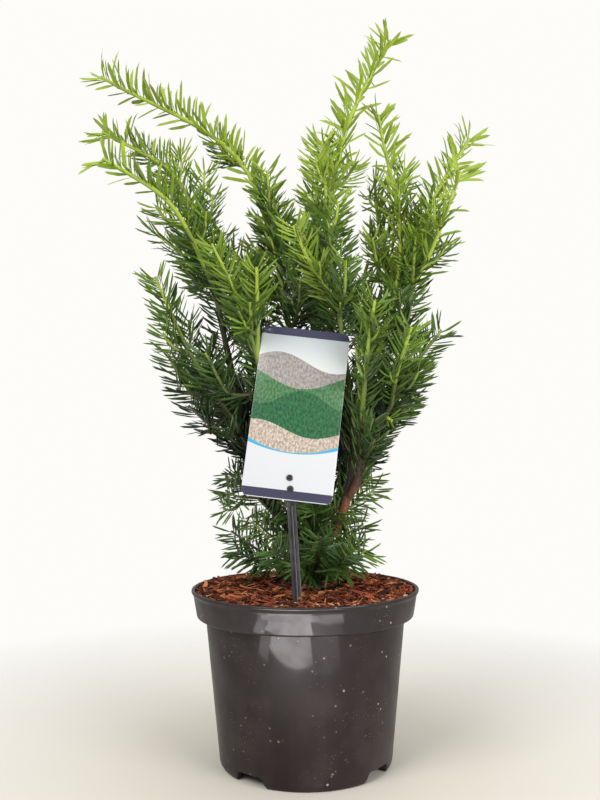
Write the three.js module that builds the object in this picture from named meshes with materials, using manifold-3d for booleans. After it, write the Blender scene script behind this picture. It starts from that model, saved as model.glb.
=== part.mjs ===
// A young spreading yew in a round nursery pot, with bark mulch on its root ball
// and a blank picture label on a stake. Millimetres, +Z up, the front towards -Y.
// The origin is the middle of the pot's flat underside.

import * as THREE from 'three';
import { mergeVertices } from 'three/addons/utils/BufferGeometryUtils.js';
import Module from 'manifold-3d';

const wasm = await Module();
wasm.setup();

// Clearance between pieces that touch
const GAP = 0.3;

// Nursery pot: a tapered shell with a band and a lip, standing on a notched foot ring and a flat boss
const POT = {
  height: 142,
  sides: 36,
  lipRadius: 95,
  lipHeight: 3.6,
  lipWidth: 2.9,
  lipEdge: 0.8,
  bandTopRadius: 93.4,
  bandFootRadius: 90.3,
  bandHeight: 22.3,
  wallTopRadius: 83.1,
  wallFootRadius: 71.3,
  wall: 1.8,
  footWidth: 6.5,
  footChamfer: 2.2,
  footChamferHeight: 3.3,
  floorHeight: 9,
  floorThickness: 2.4,
  bossRadius: 24,
  bossSlope: 2,
};
const NOTCH = { count: 4, depth: 24, width: 29, height: 8.4, firstTurn: THREE.MathUtils.degToRad(-38) };

// Root ball of potting soil, and the layer of shredded bark on it
const SOIL_LEVEL = 118;
const MULCH = {
  level: 139.5,
  heap: 3.5,
  lump: 2.2,
  lumpsAcross: 0.21,
  lumpsDeep: 0.17,
  lumpsAskew: 0.4,
  rings: 5,
  edgeRadius: 90.6,
  edgeDrop: 2.5,
  edgeSlope: 1.6,
};

// Trunk: a short leaning stem with a root flare, hidden by the foliage, and an old pruned stem
// beside it. Both start below the soil's top, and are cut flat where they stand on it.
const STEM_CUT = SOIL_LEVEL + GAP;
const STEM_START = SOIL_LEVEL - 5;
const TRUNK = {
  foot: [5, 3, STEM_START],
  waist: [7, 1, 172],
  tip: [2, 4, 226],
  footRadius: 19,
  stemRadius: 9.6,
  tipRadius: 5.4,
  flareHeight: 14,
  sides: 9,
  steps: 7,
};
const PRUNED = { foot: [35, 14, STEM_START], tip: [33, 9, 161], footRadius: 6.2, tipRadius: 4.4, steps: 2 };

// Boughs: thickness where they leave their limb and where they enter their mass
const BOUGH = {
  footRadius: 4.6,
  sideFootRadius: 3.7,
  tipRadius: 2.8,
  sides: 6,
  steps: 5,
  swing: 0.4,
  outward: 0.8,
  onward: 0.6,
};

// How many stretches a limb or a stem is cut into where distances to it are measured
const LIMB_TESTS = 24;
const STEM_TESTS = 8;

// A shoot is a main run of a mass, and a twig is what branches from it. The lowest stretch of both is bare.
// Twigs stand on a shoot from the first share of its length to the last, and shrink towards its tip.
const SHOOT = { footRadius: 2.6, sideFootRadius: 2.3, tipRadius: 1.4, bareFoot: 14, inTrunk: 20 };
const TWIG = {
  footRadius: 1.9,
  tipRadius: 1.3,
  bareFoot: 8,
  pace: 56,
  first: 0.1,
  last: 0.66,
  swerve: 0.7,
  shareAtFoot: 0.3,
  shareAtTip: 0.05,
  size: [0.75, 1.25],
  shortest: 27,
  longest: 44,
  roll: [1.1, 1.8],
  waist: { onward: 0.32, outward: 0.4, upward: 0 },
  tip: { onward: 0.68, outward: 0.62, upward: 0.22 },
  test: 0.75,
};

// The foot of a side stem is narrow, so that it stays inside the stem that it leaves
const SUNK_FOOT = 0.5;

// Needles are fewer and larger than life, so that the crown doesn't look thin. They stand in
// pairs to the sides of a stem, and in threes all round a steep one.
const NEEDLE = {
  length: 27,
  rootWidth: 6.6,
  pace: 24,
  endGap: 3,
  size: [0.85, 1.15],
  spread: [0.8, 1],
  spreadAtTip: [0.45, 0.55],
  lift: 0.3,
  tipShare: 0.8,
  shorterAtTip: 0.25,
  steep: 0.8,
  tests: [0.5, 0.8, 1.05],
};

// The upper side of a stem's section leans to the middle of the plant
const SECTION_LEAN = 0.35;

// Room that every mass keeps to the others, and to limbs, label and mulch
const ROOM = { twig: 13, needle: 2.6, limb: 3, label: 5, mulch: 5 };

// Label: a blank card with rounded corners, held by two studs on a flat ribbed stake
const LABEL = {
  entry: [-6, -74, 141.8],
  leanBack: THREE.MathUtils.degToRad(11),
  cardWidth: 71.5,
  cardHeight: 140,
  cardThickness: 1.1,
  cornerRadius: 6,
  cornerSides: 4,
  cardMiddle: 147,
  cardTurn: THREE.MathUtils.degToRad(7),
  stakeTurn: THREE.MathUtils.degToRad(-3.5),
  stakeWidth: 7,
  stakeThickness: 1.8,
  stakeTop: 105,
  stakeDepth: 23,
  pointLength: 13,
  ribWidth: 2.4,
  ribHeight: 1.1,
  ribEnd: 4,
  ribSides: 6,
  studs: [86.4, 95.1],
  studRadius: 1.9,
  headRadius: 2.7,
  headThickness: 1.1,
  studSides: 8,
  studSunk: 1,
  holeLength: 12,
  channelRise: 1,
};

// Masses of foliage. Each has the limb that carries it and where on that limb, the point where
// its bough ends and its stem starts, and its shoots by the points that they pass and end at.
// A later shoot leaves the first one at the share given. A mass with no foot leaves the trunk itself.
// A shoot with twigsTo has no twigs past that share.
const MASSES = [
  {
    name: 'left_top', limb: 'trunk', at: 1, foot: [-4, 7, 322], seed: 11,
    shoots: [
      { waist: [-52, -2, 503], tip: [-169, -25, 571] },
      { leaves: 0.2, waist: [-34, 0, 392], tip: [-62, -4, 428] },
      { leaves: 0.3, waist: [-12, 16, 425], tip: [-22, 24, 468] },
    ],
  },
  {
    name: 'left', limb: 'trunk', at: 0.55, foot: [-58, -2, 312], seed: 12,
    shoots: [
      { waist: [-107, 0, 489], tip: [-173, 0, 533], twigsTo: 0.45 },
      { leaves: 0.32, waist: [-109, -38, 459], tip: [-159, -60, 489] },
      { leaves: 0.3, waist: [-108, 26, 432], tip: [-137, 38, 456] },
    ],
  },
  {
    name: 'left_low', limb: 'bough_left', at: 0.5, foot: [-52, -26, 272], seed: 13,
    shoots: [
      { waist: [-92, -42, 336], tip: [-117, -60, 394] },
      { leaves: 0.25, waist: [-88, -24, 300], tip: [-114, -22, 338] },
      { leaves: 0.12, waist: [-74, -44, 275], tip: [-98, -54, 292] },
    ],
  },
  {
    name: 'front_left', limb: 'trunk', at: 0.78, foot: [-27, -33, 288], seed: 14,
    shoots: [
      { waist: [-50, -42, 372], tip: [-73, -52, 422] },
      { leaves: 0.3, waist: [-37, -42, 361], tip: [-37, -56, 402] },
      { leaves: 0.12, waist: [-58, -44, 302], tip: [-76, -70, 332] },
    ],
  },
  {
    name: 'top', limb: 'trunk', at: 0.48, foot: [38, -32, 300], seed: 15,
    shoots: [
      { waist: [24, -24, 418], tip: [16, -30, 513] },
      { leaves: 0.74, waist: [40, -16, 535], tip: [76, -6, 610], twigsTo: 0 },
      { leaves: 0.36, waist: [8, -30, 406], tip: [-8, -38, 440] },
    ],
  },
  {
    name: 'right_high', limb: 'trunk', at: 0.66, foot: [52, 4, 300], seed: 16,
    shoots: [
      { waist: [84, 0, 425], tip: [65, -10, 543] },
      { leaves: 0.42, waist: [69, 26, 450], tip: [65, 30, 499] },
      { leaves: 0.2, waist: [58, 26, 372], tip: [54, 40, 414] },
    ],
  },
  {
    name: 'right', limb: 'bough_right_high', at: 0.72, foot: [78, -10, 312], seed: 17,
    shoots: [
      { waist: [111, 4, 466], tip: [147, 10, 529] },
      { leaves: 0.36, waist: [108, -22, 425], tip: [131, -31, 486] },
    ],
  },
  {
    name: 'right_low', limb: 'bough_top', at: 0.55, foot: [56, -28, 264], seed: 18,
    shoots: [
      { waist: [88, -28, 322], tip: [113, -32, 354] },
      { leaves: 0.3, waist: [74, -52, 318], tip: [84, -66, 352] },
      { leaves: 0.2, waist: [82, -40, 276], tip: [96, -46, 294] },
    ],
  },
  {
    name: 'front_right', limb: 'bough_top', at: 0.45, foot: [46, -47, 280], seed: 19,
    shoots: [
      { waist: [50, -56, 334], tip: [56, -60, 374] },
    ],
  },
  {
    name: 'front_foot', limb: 'trunk', at: 0.28, seed: 20,
    shoots: [
      { waist: [10, -34, 168], tip: [12, -62, 190] },
      { leaves: 0.35, waist: [-10, -44, 168], tip: [-26, -58, 180] },
      { leaves: 0.35, waist: [32, -40, 166], tip: [48, -50, 178] },
    ],
  },
  {
    name: 'left_foot', limb: 'trunk', at: 0.36, seed: 21,
    shoots: [
      { waist: [-36, -8, 172], tip: [-69, -14, 196] },
      { leaves: 0.3, waist: [-44, 10, 164], tip: [-68, 16, 172] },
    ],
  },
  {
    name: 'left_knee', limb: 'trunk', at: 0.44, seed: 22,
    shoots: [
      { waist: [-40, -14, 218], tip: [-84, -16, 256] },
      { leaves: 0.55, waist: [-58, -22, 220], tip: [-74, -26, 232] },
    ],
  },
  {
    name: 'right_foot', limb: 'trunk', at: 0.34, seed: 23,
    shoots: [
      { waist: [34, -4, 180], tip: [56, -10, 202] },
      { leaves: 0.4, waist: [38, 10, 170], tip: [54, 22, 176] },
    ],
  },
  {
    name: 'right_knee', limb: 'trunk', at: 0.5, seed: 24,
    shoots: [
      { waist: [38, -2, 216], tip: [62, -8, 240] },
      { leaves: 0.4, waist: [50, 14, 214], tip: [74, 26, 232] },
    ],
  },
  {
    name: 'back_left_high', limb: 'trunk', at: 0.86, foot: [-34, 36, 300], seed: 25,
    shoots: [
      { waist: [-64, 58, 398], tip: [-106, 88, 466] },
      { leaves: 0.3, waist: [-38, 58, 392], tip: [-44, 84, 452] },
    ],
  },
  {
    name: 'back_high', limb: 'bough_left_top', at: 0.4, foot: [6, 40, 318], seed: 26,
    shoots: [
      { waist: [12, 52, 434], tip: [14, 74, 530] },
      { leaves: 0.36, waist: [-2, 84, 396], tip: [-12, 104, 440] },
    ],
  },
  {
    name: 'back_right_high', limb: 'trunk', at: 0.9, foot: [44, 40, 296], seed: 27,
    shoots: [
      { waist: [78, 58, 402], tip: [112, 86, 476] },
      { leaves: 0.3, waist: [52, 84, 370], tip: [56, 112, 420] },
    ],
  },
  {
    name: 'back_left_low', limb: 'bough_back_left_high', at: 0.55, foot: [-40, 46, 250], seed: 28,
    shoots: [
      { waist: [-78, 52, 292], tip: [-108, 62, 334] },
      { leaves: 0.3, waist: [-56, 84, 292], tip: [-66, 104, 330] },
    ],
  },
  {
    name: 'back_low', limb: 'trunk', at: 0.6, foot: [4, 48, 236], seed: 29,
    shoots: [
      { waist: [2, 84, 290], tip: [-4, 108, 338] },
      { leaves: 0.3, waist: [26, 78, 262], tip: [38, 98, 286] },
    ],
  },
  {
    name: 'back_right_low', limb: 'bough_back_right_high', at: 0.5, foot: [52, 40, 246], seed: 30,
    shoots: [
      { waist: [86, 46, 294], tip: [108, 50, 336] },
      { leaves: 0.3, waist: [72, 74, 286], tip: [86, 94, 318] },
    ],
  },
  {
    name: 'back_foot', limb: 'trunk', at: 0.42, seed: 31,
    shoots: [
      { waist: [2, 38, 178], tip: [2, 70, 200] },
      { leaves: 0.35, waist: [-24, 46, 176], tip: [-46, 58, 192] },
      { leaves: 0.35, waist: [26, 50, 178], tip: [44, 64, 196] },
    ],
  },
];

// Finishes
const FINISHES = {
  pot: new THREE.MeshStandardMaterial({ color: 0x4a403e, roughness: 0.34, metalness: 0 }),
  soil: new THREE.MeshStandardMaterial({ color: 0x3a2a20, roughness: 0.95, metalness: 0 }),
  mulch: new THREE.MeshStandardMaterial({ color: 0x8a3e24, roughness: 0.85, metalness: 0 }),
  bark: new THREE.MeshStandardMaterial({ color: 0x7f4630, roughness: 0.8, metalness: 0 }),
  foliage: new THREE.MeshStandardMaterial({ color: 0x4f7d2a, roughness: 0.5, metalness: 0 }),
  card: new THREE.MeshStandardMaterial({ color: 0xeeeef2, roughness: 0.3, metalness: 0 }),
  stake: new THREE.MeshStandardMaterial({ color: 0x1d1c20, roughness: 0.4, metalness: 0 }),
};

const UP = new THREE.Vector3(0, 0, 1);
const SQUARE_TO = new THREE.Vector3(1, 0.2, 0);
const CORNER_TURN = (Math.PI * 2) / 3;
const part = new THREE.Group();

// A repeatable stream of numbers from 0 to 1
function seeded(seed) {
  let state = seed;
  return () => {
    state = (state + 0x6d2b79f5) | 0;
    let mixed = Math.imul(state ^ (state >>> 15), 1 | state);
    mixed = (mixed + Math.imul(mixed ^ (mixed >>> 7), 61 | mixed)) ^ mixed;
    return ((mixed ^ (mixed >>> 14)) >>> 0) / 4294967296;
  };
}

const between = ([least, most], random) => THREE.MathUtils.lerp(least, most, random());

const vector = (numbers) => new THREE.Vector3(...numbers);

// A geometry with only its places, and no place twice
function bare(geometry) {
  geometry.deleteAttribute('normal');
  geometry.deleteAttribute('uv');
  return mergeVertices(geometry);
}

function solidOf(geometry) {
  const closed = bare(geometry);
  return new wasm.Manifold(new wasm.Mesh({
    numProp: 3,
    vertProperties: Float32Array.from(closed.getAttribute('position').array),
    triVerts: Uint32Array.from(closed.index.array),
  }));
}

function joined(geometries) {
  return geometries.map(solidOf).reduce((whole, piece) => whole.add(piece));
}

function addPiece(name, solid, finish) {
  const made = solid.getMesh();
  const geometry = new THREE.BufferGeometry();
  geometry.setAttribute('position', new THREE.BufferAttribute(made.vertProperties, 3));
  geometry.setIndex(new THREE.BufferAttribute(made.triVerts, 1));
  const mesh = new THREE.Mesh(geometry, finish);
  mesh.name = name;
  part.add(mesh);
}

// An outline of radii and heights, turned about the Z axis
function turned(outline, sides) {
  const points = outline.map(([radius, height]) => new THREE.Vector2(radius, height));
  return new THREE.LatheGeometry(points, sides).rotateX(Math.PI / 2);
}

// Pot

const BAND_FOOT = POT.height - POT.bandHeight;

function wallRadius(height) {
  return THREE.MathUtils.mapLinear(height, 0, BAND_FOOT, POT.wallFootRadius, POT.wallTopRadius);
}

function potSolid() {
  const footRadius = wallRadius(0) - POT.footChamfer;
  const innerFloor = POT.floorHeight + POT.floorThickness;
  const underBand = BAND_FOOT + POT.wall;
  const lipFoot = POT.height - POT.lipHeight;
  const outline = [
    [0, 0],
    [POT.bossRadius, 0],
    [POT.bossRadius + POT.bossSlope, POT.floorHeight],
    [footRadius - POT.footWidth - POT.lipEdge, POT.floorHeight],
    [footRadius - POT.footWidth, 0],
    [footRadius, 0],
    [wallRadius(POT.footChamferHeight), POT.footChamferHeight],
    [POT.wallTopRadius, BAND_FOOT],
    [POT.bandFootRadius, BAND_FOOT],
    [POT.bandTopRadius, lipFoot],
    [POT.lipRadius, lipFoot + POT.lipEdge],
    [POT.lipRadius, POT.height - POT.lipEdge],
    [POT.lipRadius - POT.lipEdge, POT.height],
    [POT.lipRadius - POT.lipWidth, POT.height],
    [POT.bandTopRadius - POT.wall, lipFoot],
    [POT.bandFootRadius - POT.wall, underBand],
    [POT.wallTopRadius - POT.wall, underBand],
    [wallRadius(innerFloor) - POT.wall, innerFloor],
    [POT.bossRadius + POT.bossSlope + POT.wall, innerFloor],
    [POT.bossRadius + POT.wall, POT.floorThickness],
    [0, POT.floorThickness],
  ];
  let pot = solidOf(turned(outline, POT.sides));
  for (let i = 0; i < NOTCH.count; i += 1) {
    const notch = new THREE.BoxGeometry(NOTCH.depth, NOTCH.width, NOTCH.height * 2)
      .translate(footRadius, 0, 0)
      .rotateZ(NOTCH.firstTurn + (i * Math.PI * 2) / NOTCH.count);
    pot = pot.subtract(solidOf(notch));
  }
  return pot;
}

// Root ball and mulch

function rootBallSolid() {
  const floor = POT.floorHeight + POT.floorThickness + GAP;
  const clear = POT.wall + GAP * 2;
  const inBoss = POT.bossRadius + POT.wall - GAP * 2;
  return solidOf(turned([
    [0, POT.floorThickness + GAP],
    [inBoss, POT.floorThickness + GAP],
    [inBoss + POT.bossSlope, floor],
    [wallRadius(floor) - clear, floor],
    [wallRadius(SOIL_LEVEL) - clear, SOIL_LEVEL],
    [0, SOIL_LEVEL],
  ], POT.sides));
}

// The top of the mulch is heaped a little to the middle, and lumpy
function mulchHeight(x, y) {
  const out = Math.hypot(x, y) / MULCH.edgeRadius;
  const wave = Math.cos(x * MULCH.lumpsAcross) * Math.sin(y * MULCH.lumpsDeep + 1)
    + Math.sin((x - y) * MULCH.lumpsAskew) / 2;
  return MULCH.level + MULCH.heap * (1 - out * out) + MULCH.lump * wave * (1 - out ** 6);
}

function mulchSolid() {
  const shelf = BAND_FOOT + POT.wall + GAP;
  const inWall = POT.wallTopRadius - POT.wall - GAP * 2;
  const outline = [
    [0, STEM_CUT],
    [inWall, STEM_CUT],
    [inWall, shelf],
    [POT.bandFootRadius - POT.wall - GAP * 2, shelf],
    [MULCH.edgeRadius, MULCH.level - MULCH.edgeDrop],
  ];
  for (let ring = MULCH.rings; ring >= 0; ring -= 1) {
    outline.push([(MULCH.edgeRadius - MULCH.edgeSlope) * (ring / MULCH.rings), MULCH.level]);
  }
  const geometry = bare(turned(outline, POT.sides));
  const places = geometry.getAttribute('position');
  for (let i = 0; i < places.count; i += 1) {
    if (Math.abs(places.getZ(i) - MULCH.level) < 0.01) {
      places.setZ(i, mulchHeight(places.getX(i), places.getY(i)));
    }
  }
  return solidOf(geometry);
}

// Limbs

// A tapering limb along a curve: a closed cylinder whose rings are moved onto the curve.
// The extra is added to its radius and to both its ends.
function limbGeometry({ curve, radiusAt, sides, steps }, extra) {
  const geometry = bare(new THREE.CylinderGeometry(1, 1, 1, sides, steps));
  const places = geometry.getAttribute('position');
  const local = new THREE.Vector3();
  for (let i = 0; i < places.count; i += 1) {
    local.fromBufferAttribute(places, i);
    const along = THREE.MathUtils.clamp(local.y + 0.5, 0, 1);
    const forward = curve.getTangentAt(along);
    const normal = SQUARE_TO.clone().addScaledVector(forward, -SQUARE_TO.dot(forward)).normalize();
    const across = new THREE.Vector3().crossVectors(forward, normal);
    const radius = radiusAt(along) + extra;
    const place = curve.getPointAt(along)
      .addScaledVector(across, local.x * radius)
      .addScaledVector(normal, local.z * radius);
    if (along === 0 || along === 1) {
      place.addScaledVector(forward, (along * 2 - 1) * extra);
    }
    places.setXYZ(i, place.x, place.y, place.z);
  }
  return geometry;
}

function taper(from, to) {
  return (along) => THREE.MathUtils.lerp(from, to, along);
}

function curveThrough(...points) {
  return new THREE.CatmullRomCurve3(points);
}

// The root flare opens the lowest part of the trunk
function trunkRadius(along) {
  const height = along * (TRUNK.tip[2] - TRUNK.foot[2]);
  const flare = (TRUNK.footRadius - TRUNK.stemRadius) * Math.exp(-height / TRUNK.flareHeight);
  return THREE.MathUtils.lerp(TRUNK.stemRadius, TRUNK.tipRadius, along) + flare;
}

// Every limb that is made so far, for what branches from it or keeps clear of it
const limbs = new Map();

function addLimb(name, curve, radiusAt, sides, steps) {
  limbs.set(name, { curve, radiusAt, sides, steps, points: curve.getSpacedPoints(LIMB_TESTS) });
}

const limbSolid = (name, extra) => solidOf(limbGeometry(limbs.get(name), extra));

// A limb is cut flat at the soil, and clear of the limbs that were there before it
function limbBesideOthers(name) {
  const names = [...limbs.keys()];
  const earlier = names.slice(0, names.indexOf(name));
  const whole = limbSolid(name, 0).trimByPlane([0, 0, 1], STEM_CUT);
  return largestBody(earlier.reduce((limb, other) => limb.subtract(limbSolid(other, GAP)), whole));
}

function largestBody(solid) {
  return solid.decompose().reduce((most, body) => (body.volume() > most.volume() ? body : most));
}

// A mass's first shoot goes on from its bough's tip, or leaves the trunk; the later ones leave the first
function shootCurves(mass) {
  const curves = [];
  for (const { leaves, waist, tip } of mass.shoots) {
    let from = leaves === undefined ? undefined : curves[0].getPointAt(leaves);
    if (!from && mass.foot) {
      const ahead = vector(waist).sub(vector(mass.foot)).normalize();
      from = vector(mass.foot).addScaledVector(ahead, GAP);
    }
    from ??= limbs.get(mass.limb).curve.getPointAt(mass.at);
    curves.push(curveThrough(from, vector(waist), vector(tip)));
  }
  return curves;
}

// A bough swings out from its limb and ends in line with the shoot that it carries
function boughCurve(mass, firstShoot) {
  const limb = limbs.get(mass.limb);
  const from = limb.curve.getPointAt(mass.at);
  const to = vector(mass.foot);
  const outward = to.clone().sub(from).setZ(0).normalize();
  const swing = from.distanceTo(to) * BOUGH.swing;
  const onward = limb.curve.getTangentAt(mass.at).multiplyScalar(BOUGH.onward);
  const early = onward.addScaledVector(outward, BOUGH.outward);
  const late = firstShoot.getTangentAt(0);
  return new THREE.CubicBezierCurve3(
    from,
    from.clone().addScaledVector(early, swing),
    to.clone().addScaledVector(late, -swing),
    to,
  );
}

// Masses

const stems = [];

function addStem(stem) {
  stems.push({ ...stem, points: stem.curve.getSpacedPoints(STEM_TESTS) });
}

function distanceTo(point, points) {
  const nearest = new THREE.Vector3();
  const line = new THREE.Line3();
  let least = Infinity;
  for (let i = 1; i < points.length; i += 1) {
    line.set(points[i - 1], points[i]).closestPointToPoint(point, true, nearest);
    least = Math.min(least, nearest.distanceTo(point));
  }
  return least;
}

const labelToWorld = new THREE.Matrix4()
  .makeRotationX(-LABEL.leanBack)
  .setPosition(vector(LABEL.entry));
const worldToLabel = labelToWorld.clone().invert();

// The space in front of the card and round its stake stays free of foliage
function clearOfLabel(point) {
  const local = point.clone().applyMatrix4(worldToLabel);
  const besideStake = Math.abs(local.x - local.z * Math.sin(LABEL.stakeTurn));
  const onStake = besideStake < LABEL.stakeWidth / 2 + ROOM.label && local.z < LABEL.stakeTop;
  const card = local.clone().sub(new THREE.Vector3(0, 0, LABEL.cardMiddle))
    .applyAxisAngle(new THREE.Vector3(0, 1, 0), -LABEL.cardTurn);
  const onCard = Math.abs(card.x) < LABEL.cardWidth / 2 + ROOM.label / 2
    && Math.abs(card.z) < LABEL.cardHeight / 2 + ROOM.label / 2;
  return !((onStake || onCard) && local.y < ROOM.label);
}

function clearOfPot(point) {
  const inside = Math.hypot(point.x, point.y) < POT.lipRadius + ROOM.mulch;
  return point.z > (inside ? mulchHeight(point.x, point.y) + ROOM.mulch : POT.height);
}

function clearOfLimbs(point) {
  return [...limbs.values()].every(({ points, radiusAt }) => points.every(
    (place, i) => place.distanceTo(point) > radiusAt(i / LIMB_TESTS) + ROOM.limb,
  ));
}

function distanceToStems(point, wanted) {
  return Math.min(...stems.filter(wanted).map((stem) => distanceTo(point, stem.points)));
}

const distanceToOwn = (point, mass) => distanceToStems(point, (stem) => stem.mass === mass);
const distanceToOthers = (point, mass) => distanceToStems(point, (stem) => stem.mass !== mass);

function isFree(point) {
  return clearOfLabel(point) && clearOfPot(point) && clearOfLimbs(point);
}

// A direction square to the stem, turned about it
function sideways(forward, roll) {
  const flat = new THREE.Vector3().crossVectors(forward, UP).normalize();
  return flat.applyAxisAngle(forward, roll);
}

// Twigs branch to alternate sides of a shoot and turn upwards. One with no room is left out.
function growTwigs({ mass, curve: shoot, twigsTo = TWIG.last }, random) {
  const bearing = twigsTo - TWIG.first;
  const count = Math.floor((shoot.getLength() * bearing) / TWIG.pace) + 1;
  for (let i = 0; i < count; i += 1) {
    const along = TWIG.first + ((i + random() * TWIG.swerve) * bearing) / count;
    const from = shoot.getPointAt(along);
    const forward = shoot.getTangentAt(along);
    const side = i % 2 ? 1 : -1;
    const outward = sideways(forward, mass.seed + side * between(TWIG.roll, random));
    const share = THREE.MathUtils.lerp(TWIG.shareAtFoot, TWIG.shareAtTip, along);
    const size = share * shoot.getLength() * between(TWIG.size, random);
    const reach = THREE.MathUtils.clamp(size, TWIG.shortest, TWIG.longest);
    const [waist, tip] = [TWIG.waist, TWIG.tip].map((step) => from.clone()
      .addScaledVector(forward, reach * step.onward)
      .addScaledVector(outward, reach * step.outward)
      .addScaledVector(UP, reach * step.upward));
    const curve = curveThrough(from, waist, tip);
    const tests = [waist, tip, curve.getPointAt(TWIG.test)];
    if (tests.every((point) => isFree(point) && distanceToOthers(point, mass) > ROOM.twig)) {
      addStem({ mass, curve, isSide: true, ...TWIG });
    }
  }
}

// The section of a stem: its place, the way forward, and the ways up and across on it
function sectionAt(curve, along) {
  const forward = curve.getTangentAt(along);
  const place = curve.getPointAt(along);
  const inward = new THREE.Vector3(-place.x, -place.y, 0).normalize();
  const up = UP.clone().addScaledVector(inward, SECTION_LEAN);
  up.addScaledVector(forward, -up.dot(forward)).normalize();
  return { place, forward, up, across: new THREE.Vector3().crossVectors(forward, up) };
}

function around({ up, across }, turn) {
  return across.clone().multiplyScalar(Math.cos(turn)).addScaledVector(up, Math.sin(turn));
}

// Needles lean forward, and those that would hang are combed to the sides
function needleDirection(section, turn, spread) {
  const outward = around(section, turn);
  const level = 1 - Math.abs(section.forward.z);
  const direction = section.forward.clone().multiplyScalar(Math.cos(spread));
  direction.addScaledVector(outward, Math.sin(spread));
  direction.z += level * (NEEDLE.lift + Math.max(0, -outward.z) * Math.sin(spread));
  return direction.normalize();
}

function needleFits(mass, root, direction, length) {
  return NEEDLE.tests.every((share) => {
    const point = root.clone().addScaledVector(direction, length * share);
    return isFree(point) && distanceToOwn(point, mass) + ROOM.needle < distanceToOthers(point, mass);
  });
}

// The rings of a stem, from foot to tip. A ring with a corner has its needle there. Neighbours in a
// group take falling corners, because a ring's corner shares an edge with the next corner further on.
function stemRings({ curve, bareFoot }) {
  const length = curve.getLength();
  const bearing = length - bareFoot - NEEDLE.endGap;
  const groups = Math.max(1, Math.round(bearing / NEEDLE.pace));
  const rings = [{ along: 0 }];
  for (let group = 0; group < groups; group += 1) {
    const middle = bareFoot + (bearing * (group + 0.5)) / groups;
    const isSteep = Math.abs(curve.getTangentAt(middle / length).z) > NEEDLE.steep;
    const corners = isSteep ? [undefined, 2, 1, 0, undefined] : [undefined, 2, 1, undefined];
    corners.forEach((corner, i) => {
      const at = middle + ((i - (corners.length - 1) / 2) * NEEDLE.rootWidth) / 2;
      rings.push({ along: at / length, corner, isLast: group === groups - 1 });
    });
  }
  rings.push({ along: 1 });
  return rings;
}

// A stem with its needles: a three-sided cylinder on a curve, with corners drawn out to points.
// Corner 0 is the lowest, 1 is up on the left and 2 is up on the right.
function needledStem(stem, random) {
  const rings = stemRings(stem);
  const geometry = bare(new THREE.CylinderGeometry(1, 1, 1, 3, rings.length - 1));
  const places = geometry.getAttribute('position');
  const local = new THREE.Vector3();
  for (let i = 0; i < places.count; i += 1) {
    local.fromBufferAttribute(places, i);
    const index = Math.round((local.y + 0.5) * (rings.length - 1));
    const { along, corner, isLast } = rings[index];
    const section = sectionAt(stem.curve, along);
    const { place } = section;
    const length = NEEDLE.length * between(NEEDLE.size, random) * (1 - NEEDLE.shorterAtTip * along);
    let direction = section.forward;
    let reach = index ? length * NEEDLE.tipShare : 0;
    if (Math.hypot(local.x, local.z) > 0.5) {
      const turn = Math.atan2(-local.z, -local.x);
      const own = Math.round(Math.atan2(local.x, local.z) / CORNER_TURN + 3) % 3;
      const radius = THREE.MathUtils.lerp(stem.footRadius, stem.tipRadius, along);
      const spread = between(isLast ? NEEDLE.spreadAtTip : NEEDLE.spread, random);
      place.addScaledVector(around(section, turn), stem.isSide && !index ? radius * SUNK_FOOT : radius);
      direction = needleDirection(section, turn, spread);
      reach = own === corner ? length : 0;
    }
    if (reach && needleFits(stem.mass, place, direction, reach)) {
      place.addScaledVector(direction, reach);
    }
    places.setXYZ(i, place.x, place.y, place.z);
  }
  return geometry;
}

function massSolid(mass) {
  const random = seeded(mass.seed * 977);
  const own = stems.filter((stem) => stem.mass === mass);
  const fused = joined(own.map((stem) => needledStem(stem, random)));
  return largestBody(fused.subtract(limbSolid(mass.limb, GAP)));
}

// Label

const stakeToWorld = labelToWorld.clone().multiply(new THREE.Matrix4().makeRotationY(LABEL.stakeTurn));
const cardToWorld = labelToWorld.clone().multiply(
  new THREE.Matrix4().makeRotationY(LABEL.cardTurn).setPosition(0, 0, LABEL.cardMiddle),
);

function cylinder(radius, length, sides) {
  return new THREE.CylinderGeometry(radius, radius, length, sides);
}

function stakeSolid() {
  const half = LABEL.stakeWidth / 2;
  const front = -LABEL.stakeThickness / 2;
  const pointFoot = -LABEL.stakeDepth;
  const pointTop = pointFoot + LABEL.pointLength;
  const outline = [
    [-half, pointTop],
    [0, pointFoot],
    [half, pointTop],
    [half, LABEL.stakeTop],
    [-half, LABEL.stakeTop],
  ];
  const flat = new THREE.Shape(outline.map(([x, z]) => new THREE.Vector2(x, z)));
  const bar = new THREE.ExtrudeGeometry(flat, { depth: LABEL.stakeThickness, bevelEnabled: false })
    .rotateX(Math.PI / 2)
    .translate(0, -front, 0);
  const ribTop = LABEL.cardMiddle - LABEL.cardHeight / 2 - LABEL.ribEnd;
  const rib = cylinder(LABEL.ribWidth / 2, ribTop - pointTop, LABEL.ribSides)
    .rotateX(Math.PI / 2)
    .scale(1, LABEL.ribHeight / (LABEL.ribWidth / 2), 1)
    .translate(0, front, (ribTop + pointTop) / 2);
  const throughCard = LABEL.cardThickness + GAP * 2;
  const studs = LABEL.studs.flatMap((height) => [
    cylinder(LABEL.studRadius, throughCard + LABEL.studSunk, LABEL.studSides)
      .translate(0, front - throughCard / 2, height),
    cylinder(LABEL.headRadius, LABEL.headThickness, LABEL.studSides)
      .translate(0, front - throughCard - LABEL.headThickness / 2, height),
  ]);
  return joined([bar, rib, ...studs].map((geometry) => geometry.applyMatrix4(stakeToWorld)));
}

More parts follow.
